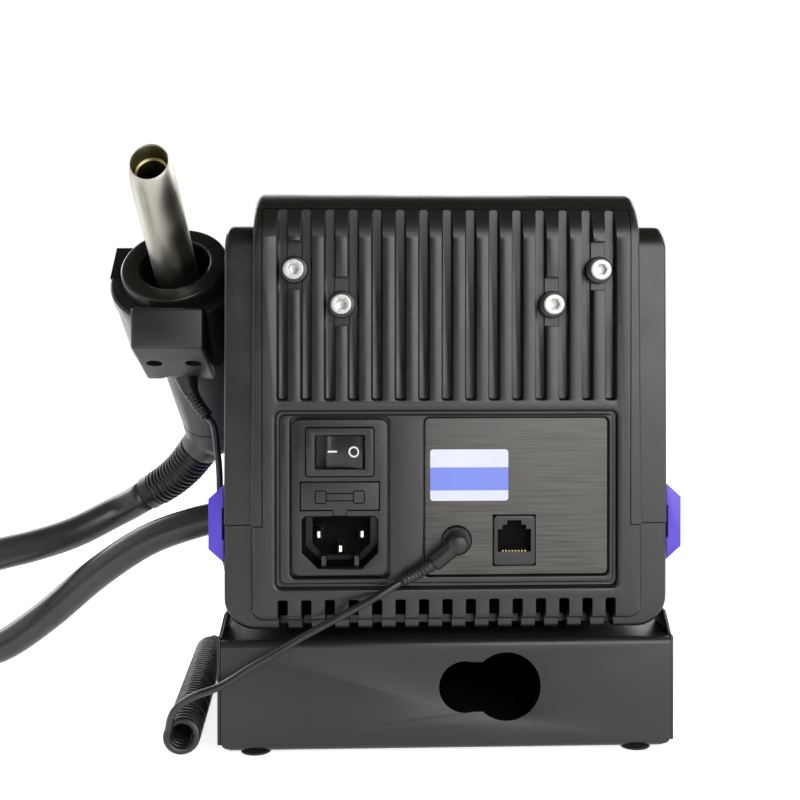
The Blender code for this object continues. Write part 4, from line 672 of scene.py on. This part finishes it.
def make_inlet():
    back = POCKET_Y + 0.3
    half_w, half_h = 15.1, 24.75
    body = as_object(eased(lambda i: box_outline(INLET_X - half_w, INLET_X + half_w, INLET_Z - half_h,
                                                 INLET_Z + half_h, 2.6, -i), back, FACE, 0.5),
                     "inlet_body_fine", "shell_dark")
    join(body, block(INLET_X - 13.7, INLET_X + 13.7, back - 27, back + 1, INLET_Z - 23.3, INLET_Z + 23.3))
    join(body, eased(lambda i: box_outline(INLET_X - 10.6, INLET_X + 10.6, 95.3 - 7.6, 95.3 + 7.6, 0.7, -i),
                     back + 1, FACE + 0.9, 0.3))
    cut(body, flared(lambda o: box_outline(INLET_X - 7.9, INLET_X + 7.9, 95.3 - 5.4, 95.3 + 5.4, 0.3, o),
                     FACE - 12, FACE + 0.9, 0.15))
    cut(body, block(INLET_X - 12.65, INLET_X + 12.65, FACE - 20, FACE + 5, 81.35 - 4.7, 81.35 + 4.7))
    cut(body, block(INLET_X - 2.35, INLET_X + 2.35, FACE - 1.2, FACE + 5, 75.0, 81))
    half, low, high, chamfer = 12.0, 66.7 - 8.25, 66.7 + 8.25, 5.0

    def mouth(offset):
        return [(INLET_X - half + chamfer, low - offset), (INLET_X + half - chamfer, low - offset),
                (INLET_X + half + offset, low + chamfer), (INLET_X + half + offset, high - 1),
                (INLET_X + half - 1, high + offset), (INLET_X - half + 1, high + offset),
                (INLET_X - half - offset, high - 1), (INLET_X - half - offset, low + chamfer)]
    cut(body, flared(mouth, FACE - 15, FACE, 0.35))
    finish_piece(body, "station", ["inlet_body"], 30)
    # Painted shade: a near-black strip laid in the seam round the rocker's bezel.
    strip("rocker_bezel_painted_shade", rounded(INLET_X - 10.65, INLET_X + 10.65, 95.3 - 7.65, 95.3 + 7.65, 0.7, 3), 0.7,
          FACE + 0.1, "line", True)
    # Painted shade: a near-black sleeve lines the walls of the inlet's mouth.
    painted_shade_sleeve = as_object(prism(mouth(-0.05), FACE - 14.6, FACE - 0.7), "inlet_mouth_painted_shade", "line")
    cut(painted_shade_sleeve, prism(mouth(-0.3), FACE - 15, FACE))
    finish_piece(painted_shade_sleeve, "station", ())
    # Painted shade: a near-black slab at the bottom of the inlet's mouth.
    painted_shade_floor = as_object(stack([[(INLET_X + a * 9.4, 66.7 + b * 6.2) for a, b in
                             ((-0.6, -1), (0.6, -1), (1, -0.4), (1, 1), (-1, 1), (-1, -0.4))]] * 2,
                           [FACE - 14.9, FACE - 13.6]), "inlet_floor_painted_shade", "line")
    finish_piece(painted_shade_floor, "station", ())
    for x in (-5.2, 5.2):
        rib = as_object(block(INLET_X + x - 0.7, INLET_X + x + 0.7, FACE - 14, FACE - 2.5, 58.6, 62.0),
                        f"inlet_rib_{'left' if x > 0 else 'right'}", "shell_dark")
        finish_piece(rib, "station", ())
    for name, x, z in (("inlet_pin_line", 6.9, 68.5), ("inlet_pin_earth", 0.0, 63.9), ("inlet_pin_neutral", -6.9, 68.5)):
        pin = as_object(stack([box_outline(INLET_X + x - a, INLET_X + x + a, z - b, z + b, 0.2, 0)
                               for a, b in ((1.1, 2.0), (1.1, 2.0), (0.45, 1.0))],
                              [FACE - 14.7, FACE - 6.9, FACE - 5.2]), name + "_fine", "pin")
        finish_piece(pin, "station", [name])
    drawer = as_object(eased(lambda i: box_outline(INLET_X - 12.3, INLET_X + 12.3, 77.0, 85.7, 0.4, -i),
                             FACE - 18.4, FACE + 0.1, 0.2), "fuse_drawer_fine", "shell_dark")
    join(drawer, block(INLET_X - 2.0, INLET_X + 2.0, FACE - 1.0, FACE + 0.1, 75.3, 78))
    finish_piece(drawer, "drawer", ["fuse_drawer", "fuse"])
    y = FACE + 0.1
    for side in (-1, 1):
        cap = rounded(INLET_X + side * 6.0 - 1.7, INLET_X + side * 6.0 + 1.7, 79.1, 83.0, 0.5, 3)
        strip(f"fuse_mark_cap_{'a' if side < 0 else 'b'}", cap, 0.36, y, "line", True, "drawer")
    for z in (79.9, 82.2):
        strip(f"fuse_mark_line_{int(z)}", [(INLET_X - 4.3, z), (INLET_X + 4.3, z)], 0.36, y, "line", False, "drawer")


def make_rocker():
    half, crest = 7.4, 4.3
    outline = [(crest, 1.1)]
    for index in range(1, 12):
        x = crest - (crest + half) * index / 12
        outline.append((x, 0.6 + 1.1 * (x / half) ** 2))
    outline += [(-half, 1.7), (-half, 0)] + arc(0, 0, half, 200, 300, 12) + [(crest, -6.0)]
    outline = [(a, max(b, -6.0)) for a, b in outline]
    turn = Matrix.Translation((INLET_X, FACE - 1.6, 95.3)) @ Matrix.Rotation(math.radians(-7), 4, "Z")
    rocker = as_object(moved(prism(outline, -5.15, 5.15, "Z"), turn), "power_rocker_fine", "shell_dark")
    soften(rocker, 0.2, 2)
    finish_piece(rocker, "rocker", ["power_rocker"])

    def on_rocker(x, z):
        return turn @ Vector((x, 0.62 + 1.1 * (x / half) ** 2, z))
    ring = [on_rocker(-4.6 + a, b) for a, b in arc(0, 0, 1.5, 0, 345, 23)]
    mark_line("rocker_mark_off", ring, 0.28, True)
    mark_line("rocker_mark_on", [on_rocker(2.3 + step * 0.36, 0) for step in range(-4, 5)], 0.3, False)


def mark_line(name, points, radius, closed):
    """A raised white mark that follows points on the rocker."""
    maker = bmesh.new()
    count = len(points)
    rings = []
    for index, point in enumerate(points):
        before = points[index - 1] if closed or index else points[0]
        after = points[(index + 1) % count] if closed or index < count - 1 else points[-1]
        along = (after - before).normalized()
        across = along.cross(Vector((0, 1, 0))).normalized()
        lift = Vector((0, 0.04, 0))
        rings.append([maker.verts.new(point + across * radius + lift), maker.verts.new(point - across * radius + lift),
                      maker.verts.new(point - across * radius - lift), maker.verts.new(point + across * radius - lift)])
    pairs = list(zip(rings, rings[1:])) + ([(rings[-1], rings[0])] if closed else [])
    for lower, upper in pairs:
        for side in range(4):
            after = (side + 1) % 4
            maker.faces.new((lower[side], lower[after], upper[after], upper[side]))
    if not closed:
        maker.faces.new(rings[0][::-1])
        maker.faces.new(rings[-1])
    mark = as_object(maker, name, "white")
    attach(mark, "rocker")


# Connector plate

def make_plate():
    back, face = POCKET_Y + 0.3, POCKET_Y + 1.5
    half_w, half_h = 29.15, 24.9
    plate = as_object(eased(lambda i: box_outline(PLATE_X - half_w, PLATE_X + half_w, PLATE_Z - half_h,
                                                  PLATE_Z + half_h, 1.6, -i), back, face, 0.25),
                      "connector_plate_fine", "plate")
    cut(plate, block(-28.2, -14.4, back - 1, face + 2, 58.8, 75.2))
    cut(plate, moved(disc(4.9, -5, 5), aimed((-3, back, 67), (0, 1, 0))))
    finish_piece(plate, "station", ["connector_plate"])
    label_left, label_right, low, high = -19.4, 5.4, 79.6, 95.9
    bands = (("label_low", low, low + 3.3, "label_white"), ("label_middle", low + 3.3, high - 5.7, "label_blue"),
             ("label_top", high - 5.7, high, "label_white"))
    sheet = as_object(prism(rounded(label_left, label_right, low, high, 1.0), face, face + 0.12), "blank_label",
                      "label_white")
    finish_piece(sheet, "station", ())
    band = as_object(block(label_left, label_right, face + 0.02, face + 0.15, bands[1][1], bands[1][2]),
                     "blank_label_band", "label_blue")
    finish_piece(band, "station", ())
    socket = as_object(eased(lambda i: box_outline(-21.3 - 6.6, -21.3 + 6.6, 59.1, 74.9, 1.2, -i),
                             face - 14, face + 0.5, 0.35), "data_socket_fine", "shell_dark")
    left, right = -21.3 - 5.3, -21.3 + 5.3
    mouth = [(left, 63.4), (right, 63.4), (right, 70.6), (right - 1.5, 70.6), (right - 1.5, 72.0),
             (right - 3.0, 72.0), (right - 3.0, 73.4), (left + 3.0, 73.4), (left + 3.0, 72.0),
             (left + 1.5, 72.0), (left + 1.5, 70.6), (left, 70.6)]
    cut(socket, prism(mouth, face - 12, face + 3))
    finish_piece(socket, "station", ["data_socket"], 30)
    # Painted shade: a near-black block deep in the data socket.
    dark = as_object(block(left + 0.05, right - 0.05, face - 4.5, face - 4.0, 63.45, 73.3), "data_socket_painted_shade", "line")
    finish_piece(dark, "station", ())
    for index in range(8):
        x = -21.3 + (index - 3.5) * 1.02
        wire = as_object(block(x - 0.2, x + 0.2, face - 5, face - 0.6, 63.3, 63.7), f"data_contact_{index + 1}",
                         "gold")
        finish_piece(wire, "station", ())
    dress("shell_dark", "standby_jack")


# Gun

LEAN, RISE = math.radians(3.4), math.radians(44.5)
ALONG = Vector((math.sin(LEAN), math.cos(LEAN) * math.cos(RISE), math.cos(LEAN) * math.sin(RISE)))
ACROSS = (Vector((1, 0, 0)) - ALONG * ALONG.x).normalized()
GUN = Matrix.Translation((92.8, -44.0, 156.9)) @ Matrix((ACROSS, ALONG.cross(ACROSS), ALONG)).transposed().to_4x4()


def handle_stations():
    top = -5.3
    return [(16.2, top), (15.6, top - 8), (14.1, top - 22), (13.2, top - 34), (12.6, top - 50), (11.4, top - 74.1)]


def smooth_profile(points, steps=6):
    """A finer profile through (radius, height) points."""
    route = smooth_route([(r, h, 0) for r, h in points], 1.6)
    return [(p.x, p.y) for p in route]


def tube_shape(point):
    start, length = 44.5 * 0.55, 44.5
    share = min(max((point.z - start) / (length - start), 0.0), 1.0)
    share = share * share * (3 - 2 * share)
    return Vector((point.x, point.y, point.z - math.tan(math.radians(20)) * point.y * share))


def make_gun():
    profile = [(6.7, -25), (7.5, -25), (7.5, 20), (7.5, 30), (7.47, 34), (7.4, 37), (7.25, 39.5), (7.0, 41.6),
               (6.7, 43.2), (6.45, 44.0), (6.25, 44.3), (6.1, 44.2), (6.05, 43.6), (6.1, 40), (6.3, 32), (6.7, 22)]
    tube = as_object(moved(turned(profile, 64, tube_shape), GUN), "nozzle_tube_fine", "tube")
    finish_piece(tube, "gun", ["nozzle_tube"])
    liner = as_object(moved(turned([(4.9, 10), (5.9, 10), (5.9, 39.4), (5.5, 39.8), (4.9, 39.4)], 48, tube_shape), GUN),
                      "nozzle_liner", "liner")
    lining = as_object(moved(turned([(5.96, 39), (6.03, 39), (6.03, 43.7), (5.96, 43.7)], 48, tube_shape), GUN),
                       "nozzle_lining", "liner")
    for piece in (liner, lining):
        finish_piece(piece, "gun", ())
    ring = [(12.2, -5), (18.2, -5), (18.5, -4.7), (18.5, -1.0), (18.35, -0.55), (18.0, -0.15), (17.6, 0),
            (13.2, 0), (12.8, -0.1), (12.4, -0.4), (12.2, -0.9)]
    guard = as_object(moved(turned(ring, 96), GUN), "guard_ring_fine", "cradle")
    slit = block(11, 20, -0.2, 0.2, -0.5, 1)
    cut(guard, moved(slit, GUN @ Matrix.Rotation(math.radians(215), 4, "Z")))
    chord = GUN @ Matrix.Rotation(math.radians(36), 4, "Z")
    cut(guard, moved(block(-20, 20, -40, -17.65, -8, 2), chord))
    finish_piece(guard, "gun", ["guard_ring"], 30)
    # Painted shade: a near-black tube lines the guard ring's hole round the nozzle.
    painted_shade_sleeve = as_object(moved(turned([(11.6, -40), (12.1, -40), (12.1, -0.9), (11.6, -0.9)], 64), GUN), "guard_hole_painted_shade",
                       "line")
    finish_piece(painted_shade_sleeve, "gun", ())
    outer = smooth_profile(handle_stations())
    shell = as_object(moved(turned(outer[::-1] + [(r - 2, h) for r, h in outer], 64), GUN), "handle_shell_fine", "grip")
    finish_piece(shell, "gun", ["handle_shell"])
    dress("ceramic", "tube_collar", "heater_core")
    centre = Vector((0, 0, -5.3 - 74.1 - 0.3 - 7.3))
    dome = [(11.4 * math.cos(math.radians(a)), centre.z - 11.4 * math.sin(math.radians(a))) for a in range(0, 86, 8)]
    cap = as_object(moved(turned([(0, centre.z + 7.0), (11.4, centre.z + 7.0)] + dome + [(0, centre.z - 11.4)], 64), GUN),
                    "end_cap_fine", "grip")
    boot = boot_path()
    way = (boot[1] - boot[0]).normalized()
    neck = [(7.9, -13), (7.9, -0.8), (7.6, -0.3), (0, -0.3), (0, -13)]
    join(cap, moved(turned([(0, -13), (8.4, -13), (8.2, -5), (8.0, -0.9), (7.7, -0.3), (0, -0.3)], 48), aimed(boot[0], way)))
    finish_piece(cap, "gun", ["end_cap"])
    radii = []
    count = len(boot)
    for index in range(count):
        along = index / (count - 1)
        body = 8.0 - 0.9 * along
        if along < 0.86:
            wave = abs(math.sin(math.pi * 13 * along / 0.86))
            radii.append(body - 0.75 * (1 - wave ** 0.7))
        else:
            radii.append(6.9)
    grip = as_object(swept(boot, radii, 40), "hose_boot_fine", "rubber")
    finish_piece(grip, "gun", ["hose_boot"], 60)


def boot_path():
    return smooth_route([(94.3, -110.0, 86.7), (100.6, -114.6, 79.2), (108.0, -118.8, 72.9), (116.4, -122.0, 67.7)], 0.28)


# Cradle

def make_cradle():
    top, low = -5.3, -5.3 - 27.5
    outer = [(21.6, low + 0.4), (22.0, low), (22.6, -12), (23.2, -9.6), (23.2, -6.0), (22.8, -5.5), (22.3, top)]
    inner = [(17.3, top), (16.8, -5.8), (16.1, -13.3), (14.6, -27.3), (14.0, low), (20.9, low)]
    body = as_object(moved(turned(outer + inner, 96), GUN), "cradle_fine", "cradle")
    far, near, reach = math.radians(34), math.radians(52), 70
    wedge = [(0, 0), (reach * math.sin(far), -reach * math.cos(far)), (-reach * math.sin(near), -reach * math.cos(near))]
    cut(body, moved(prism(wedge, low - 1, top + 1, "Z"), GUN))
    arm = as_object(moved(block(15, 23.3, low, top, 0, 30), GUN @ Matrix.Rotation(math.radians(90), 4, "X")), "arm")
    arm_core = [(0, -40), (20.9, -40), (14.0, low), (14.6, -27.3), (16.1, -13.3), (16.8, -5.8), (19.6, -4), (19.6, 2), (0, 2)]
    cut(arm, moved(turned(arm_core, 96), GUN))
    combine(body, arm, "UNION")
    cut(body, block(0, 73.3, -120, 30, 80, 230))
    cut(body, block(0, 160, -120, 30, 163.4, 230))
    soften(body, 0.35, 3)
    finish_piece(body, "station", ["cradle"])
    outline = [(-25.0, 127.7), (-25.0, 141.2), (-54.0, 141.2), (-54.0, 116.5)]
    box = as_object(prism(outline, 80, 104, "X"), "sensor_box_fine", "sheet")
    soften(box, 1.0, 4)
    cut(box, moved(disc(23.5, -80, 40, 96), GUN))
    slope = Vector((0, -29.0, -11.2)).normalized()
    down = Vector((0, -slope.z, slope.y))
    middle = Vector((92, -25, 127.7)) + slope * 14.5
    for side in (-1, 1):
        cut(box, moved(disc(2.75, -3, 3, 40), aimed(middle + Vector((side * 6.6, 0, 0)), down)))
    finish_piece(box, "station", ["sensor_box"])
    dress("sheet", "cradle_bracket", "bracket_screw_1", "bracket_screw_2")
    path = smooth_route([(91.0, -59.0, 117.6), (89.6, -58.6, 112.6), (86.6, -57.2, 107.6), (83.0, -55.4, 103.2)], 0.3)
    radii = []
    for index in range(len(path)):
        along = index / (len(path) - 1)
        body_radius = 4.4 - 2.2 * min(along / 0.5, 1.0)
        ribbed = along > 0.42
        wave = abs(math.sin(math.pi * 12 * along))
        radii.append(body_radius + (0.35 * wave - 0.1 if ribbed else 0.0))
    boot = as_object(swept(path, radii, 24), "sensor_boot_fine", "rubber")
    finish_piece(boot, "station", ["sensor_boot"], 60)


# Cords

def mesh_cord(name, path, radius, sides, look):
    made = as_object(swept(path, [radius] * len(path), sides), name, look)
    made.data.shade_smooth()
    return made


def in_metres(path):
    return [tuple(PLACE @ point) for point in path]


def hose_path():
    upper = smooth_route([(116.65, -122.1, 67.55), (123.7, -124.8, 63.2), (131.0, -124.5, 59.5), (144.7, -118.0, 52.8),
                          (158.0, -108.0, 49.1), (170.5, -97.0, 47.2), (182.0, -84.0, 44.6), (190.5, -68.0, 38.6),
                          (196.0, -48.0, 30.0), (203.0, -24.0, 22.5), (217.0, 1.0, 19.4), (237.0, 17.5, 19.3)], 5)
    turns = []
    for step in range(1, 96):
        degrees = 472 - step * (472 + 80) / 96
        inward = min(max((degrees - 190) / 85, 0), 1)
        climb = min(max((degrees - 412) / 60, 0), 1)
        climb = climb * climb * (3 - 2 * climb)
        radius = 76 - 13.2 * inward * inward * (3 - 2 * inward) + 4.6 * climb
        angle = math.radians(degrees)
        turns.append((262 + radius * math.cos(angle), -45 + radius * math.sin(angle), 6.4 + 12.9 * climb))
    lower = [(246.0, -121.5, 6.4), (231.0, -123.0, 6.4), (215.0, -120.9, 6.4), (199.0, -118.6, 6.4), (184.0, -112.5, 6.6),
             (171.0, -107.5, 9.5), (153.0, -105.0, 21.8), (133.0, -105.0, 38.6), (113.0, -105.0, 51.6),
             (93.0, -105.0, 58.6), (85.5, -105.0, 60.0), (79.5, -105.0, 60.0)]
    return smooth_route([tuple(p) for p in upper] + turns + lower, 4.5)


def path_length(path):
    return sum((b - a).length for a, b in zip(path, path[1:]))


def make_hose():
    """The air hose in one mesh, joined from its first 200 mm and the rest."""
    path = hose_path()
    run, split = 0.0, 0
    while run < 200:
        run += (path[split + 1] - path[split]).length
        split += 1
    hose = mesh_cord("air_hose_fine", path[:split + 1], 6.25, 32, "hose")
    rest = mesh_cord("air_hose_rest", path[split:], 6.25, 32, "hose")
    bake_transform(hose)
    both = [hose, rest]
    with bpy.context.temp_override(active_object=hose, object=hose, selected_objects=both,
                                   selected_editable_objects=both):
        bpy.ops.object.join()
    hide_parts("air_hose_upper", "air_hose_lower", "air_hose_coil")


FAR, NEAR = Vector((90.0, -114.5, 5.9)), Vector((83.5, -1.0, 5.9))


def helix(turn_count=36, steps=24, radius=4.65):
    """The curly stretch, which starts on its axis and leaves its last turn at its side."""
    axis = NEAR - FAR
    along = axis.normalized()
    side = along.cross(Vector((0, 0, 1))).normalized()
    up = side.cross(along)
    points = []
    total = turn_count * steps + 2
    for index in range(total + 1):
        share = index / total
        angle = math.tau * index / steps
        reach = radius * min(index / 7, 1.0)
        points.append(FAR + along * (0.6 + (axis.length - 1.2) * share)
                      + (side * math.cos(angle) + up * math.sin(angle)) * reach)
    return points


def make_standby_cord():
    sensor_end = smooth_route([(91.0, -59.0, 117.6), (89.6, -58.6, 112.6), (86.6, -57.2, 107.6), (83.0, -55.4, 103.2)], 0.9)
    way = (sensor_end[-1] - sensor_end[-2]).normalized()
    upper = [sensor_end[-1] + way * 0.3, sensor_end[-1] + way * 4, Vector((79.5, -53.4, 93.5)), Vector((78.5, -53, 84)),
             Vector((78.3, -54, 72)), Vector((78, -62, 54)), Vector((77.8, -82, 36)), Vector((78.5, -106, 20)),
             Vector((81.5, -122, 9)), Vector((86, -128, 4.8)), Vector((89.6, -125.5, 5.2))]
    axis = (NEAR - FAR).normalized()
    upper += [FAR - axis * 6, FAR - axis * 0.3]
    plug = smooth_route(plug_route(), 0.8)
    out = (plug[-1] - plug[-2]).normalized()
    lower = [Vector((86.3, 1.3, 13.0)), Vector((84.0, 3.2, 16.6)), Vector((79.05, 5.2, 20.5)), Vector((70.3, 5.5, 23.8)), Vector((61.5, 5.5, 29.2)),
             Vector((52.2, 5.6, 34.5)), Vector((46.0, 5.8, 38.3)), Vector((33.6, 6.2, 45.0)), Vector((22.0, 6.0, 51.2)),
             plug[-1] + out * 0.3]
    coil = helix()
    tail = smooth_route([coil[-2], coil[-1]] + lower, 1.5)[2:]
    path = smooth_route(upper, 2.5) + coil + tail
    cord = mesh_cord("standby_cord_fine", path, 1.2, 12, "cord")
    metres = in_metres(path)
    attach(cord, "station")
    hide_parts("sensor_cord", "standby_curl", "standby_cord")
    return cord, metres


PLUG_Y = POCKET_Y + 0.3 + 1.2 + 1.0 + 0.3


def plug_route():
    y = PLUG_Y + 4.25
    return [(-3, y, 67.0), (2.0, y, 62.9), (5.3, y, 60.4), (9.6, y + 0.6, 57.8), (14.3, y + 1.2, 55.6)]


def make_plug(cord, metres):
    profile = [(0, -8), (1.6, -8), (1.6, 0), (3.1, 0), (3.3, 0.2), (3.3, 5.6), (3.15, 6.4), (2.8, 7.0), (2.1, 7.4), (0, 7.5)]
    plug = as_object(moved(turned(profile, 40), aimed((-3, PLUG_Y, 67), (0, 1, 0))), "standby_plug_fine", "rubber")
    path = smooth_route(plug_route(), 0.3)
    radii = []
    for index in range(len(path)):
        along = index / (len(path) - 1)
        if along < 0.46:
            radii.append(2.85)
        else:
            wave = abs(math.sin(math.pi * 9 * (along - 0.46) / 0.54))
            radii.append(2.3 - 0.6 * (along - 0.46) / 0.54 - 0.4 * (1 - wave))
    join(plug, swept(path, radii, 28))
    finish_piece(plug, "station", ["standby_plug"], 50)


# Front and inside

def make_front():
    dress("shell", "front_fascia")
    dress("glass", "display_window")
    dress("knob", "temperature_knob", "air_knob", "preset_button_1", "preset_button_2", "preset_button_3")
    dress("shell_dark", "hose_gland")
    dress("pump", "air_pump", "mains_transformer")
    dress("rubber", "pump_pad", "inner_air_tube")
    dress("board", "power_board", "control_board")
    fascia = nodes["front_fascia"]
    fascia.data.materials[0] = looks["shell"]


# Stage

def area_light(name, place, target, size, power, colour=(1, 1, 1), size_y=None):
    data = bpy.data.lights.new(name, "AREA")
    data.shape = "RECTANGLE"
    data.size = size
    data.size_y = size_y or size
    data.energy = power
    data.color = colour
    lamp = bpy.data.objects.new(name, data)
    bpy.context.scene.collection.objects.link(lamp)
    lamp.location = place
    lamp.rotation_euler = (Vector(target) - Vector(place)).to_track_quat("-Z", "Y").to_euler()
    return lamp


def seen_by_itself(tree):
    """1 for the rays of the camera, of reflections and through glass."""
    path = tree.nodes.new("ShaderNodeLightPath")
    total = path.outputs["Is Camera Ray"]
    for name in ("Is Glossy Ray", "Is Transmission Ray"):
        step = tree.nodes.new("ShaderNodeMath")
        step.operation = "MAXIMUM"
        tree.links.new(total, step.inputs[0])
        tree.links.new(path.outputs[name], step.inputs[1])
        total = step.outputs[0]
    return total


def make_world():
    world = bpy.data.worlds.new("studio")
    bpy.context.scene.world = world
    world.use_nodes = True
    tree = world.node_tree
    tree.nodes.clear()
    output = tree.nodes.new("ShaderNodeOutputWorld")
    mix = tree.nodes.new("ShaderNodeMixShader")
    seen = tree.nodes.new("ShaderNodeBackground")
    seen.inputs["Color"].default_value = (1, 1, 1, 1)
    seen.inputs["Strength"].default_value = 1.0
    light = tree.nodes.new("ShaderNodeBackground")
    light.inputs["Color"].default_value = (0.96, 0.98, 1.0, 1)
    light.inputs["Strength"].default_value = 0.55
    tree.links.new(seen_by_itself(tree), mix.inputs[0])
    tree.links.new(light.outputs[0], mix.inputs[1])
    tree.links.new(seen.outputs[0], mix.inputs[2])
    tree.links.new(mix.outputs[0], output.inputs["Surface"])


def make_floor():
    maker = bmesh.new()
    corners = [(-6, -6, -0.0002), (6, -6, -0.0002), (6, 6, -0.0002), (-6, 6, -0.0002)]
    maker.faces.new([maker.verts.new(corner) for corner in corners])
    mesh = bpy.data.meshes.new("floor")
    maker.to_mesh(mesh)
    maker.free()
    floor = bpy.data.objects.new("floor", mesh)
    bpy.context.scene.collection.objects.link(floor)
    made, tree_nodes, links, shader = new_material("floor_white", (0.9, 0.9, 0.9), 0.7)
    glow = tree_nodes.new("ShaderNodeEmission")
    glow.inputs["Strength"].default_value = 0.8
    black = tree_nodes.new("ShaderNodeEmission")
    black.inputs["Strength"].default_value = 0.0
    pick = tree_nodes.new("ShaderNodeMixShader")
    total = tree_nodes.new("ShaderNodeAddShader")
    links.new(seen_by_itself(made.node_tree), pick.inputs[0])
    links.new(black.outputs[0], pick.inputs[1])
    links.new(glow.outputs[0], pick.inputs[2])
    links.new(shader.outputs[0], total.inputs[0])
    links.new(pick.outputs[0], total.inputs[1])
    links.new(total.outputs[0], tree_nodes["Material Output"].inputs["Surface"])
    mesh.materials.append(made)


def make_camera():
    data = bpy.data.cameras.new("photo_view")
    camera = bpy.data.objects.new("photo_view", data)
    bpy.context.scene.collection.objects.link(camera)
    data.sensor_width = 36.0
    data.lens = 56.25
    data.shift_x = -0.05025
    data.shift_y = -0.066
    data.clip_start = 0.01
    data.clip_end = 50.0
    camera.location = PLACE @ Vector((19, 393, 131.4))
    yaw, pitch = math.radians(2.43), math.radians(0.45)
    look = Vector((-math.sin(yaw) * math.cos(pitch), -math.cos(yaw) * math.cos(pitch), -math.sin(pitch)))
    camera.rotation_euler = look.to_track_quat("-Z", "Y").to_euler()
    bpy.context.scene.camera = camera


def make_flag(name, corners):
    """A black card that keeps the white surroundings out of the reflections."""
    maker = bmesh.new()
    maker.faces.new([maker.verts.new(corner) for corner in corners])
    mesh = bpy.data.meshes.new(name)
    maker.to_mesh(mesh)
    maker.free()
    flag = bpy.data.objects.new(name, mesh)
    bpy.context.scene.collection.objects.link(flag)
    mesh.materials.append(looks["flag"])
    flag.visible_camera = False


def make_lights():
    middle = (0.0, 0.0, 0.1)
    area_light("softbox_rear", (-0.52, 1.05, 0.40), middle, 1.15, 13, (0.95, 0.95, 1.0), size_y=0.74)
    area_light("rim_left", (0.95, -0.75, 0.75), middle, 0.8, 9)
    area_light("rim_right", (-0.95, -0.75, 0.6), middle, 0.7, 6)
    area_light("front_fill", (0.2, -1.1, 0.7), middle, 0.8, 4)
    make_flag("rear_flag", [(-1.2, 1.35, 0.0), (1.0, 1.35, 0.0), (1.0, 1.35, 1.5), (-1.2, 1.35, 1.5)])
    make_flag("top_flag", [(-1.2, -2.0, 1.5), (1.2, -2.0, 1.5), (1.2, 1.35, 1.5), (-1.2, 1.35, 1.5)])


make_camera()
make_world()
make_floor()
make_lights()
make_upper_shell()
make_lower_shell()
make_screws()
make_rails()
make_base()
make_inlet()
make_rocker()
make_plate()
make_gun()
make_cradle()
make_hose()
make_plug(*make_standby_cord())
make_front()

bpy.context.scene.view_settings.view_transform = "Standard"
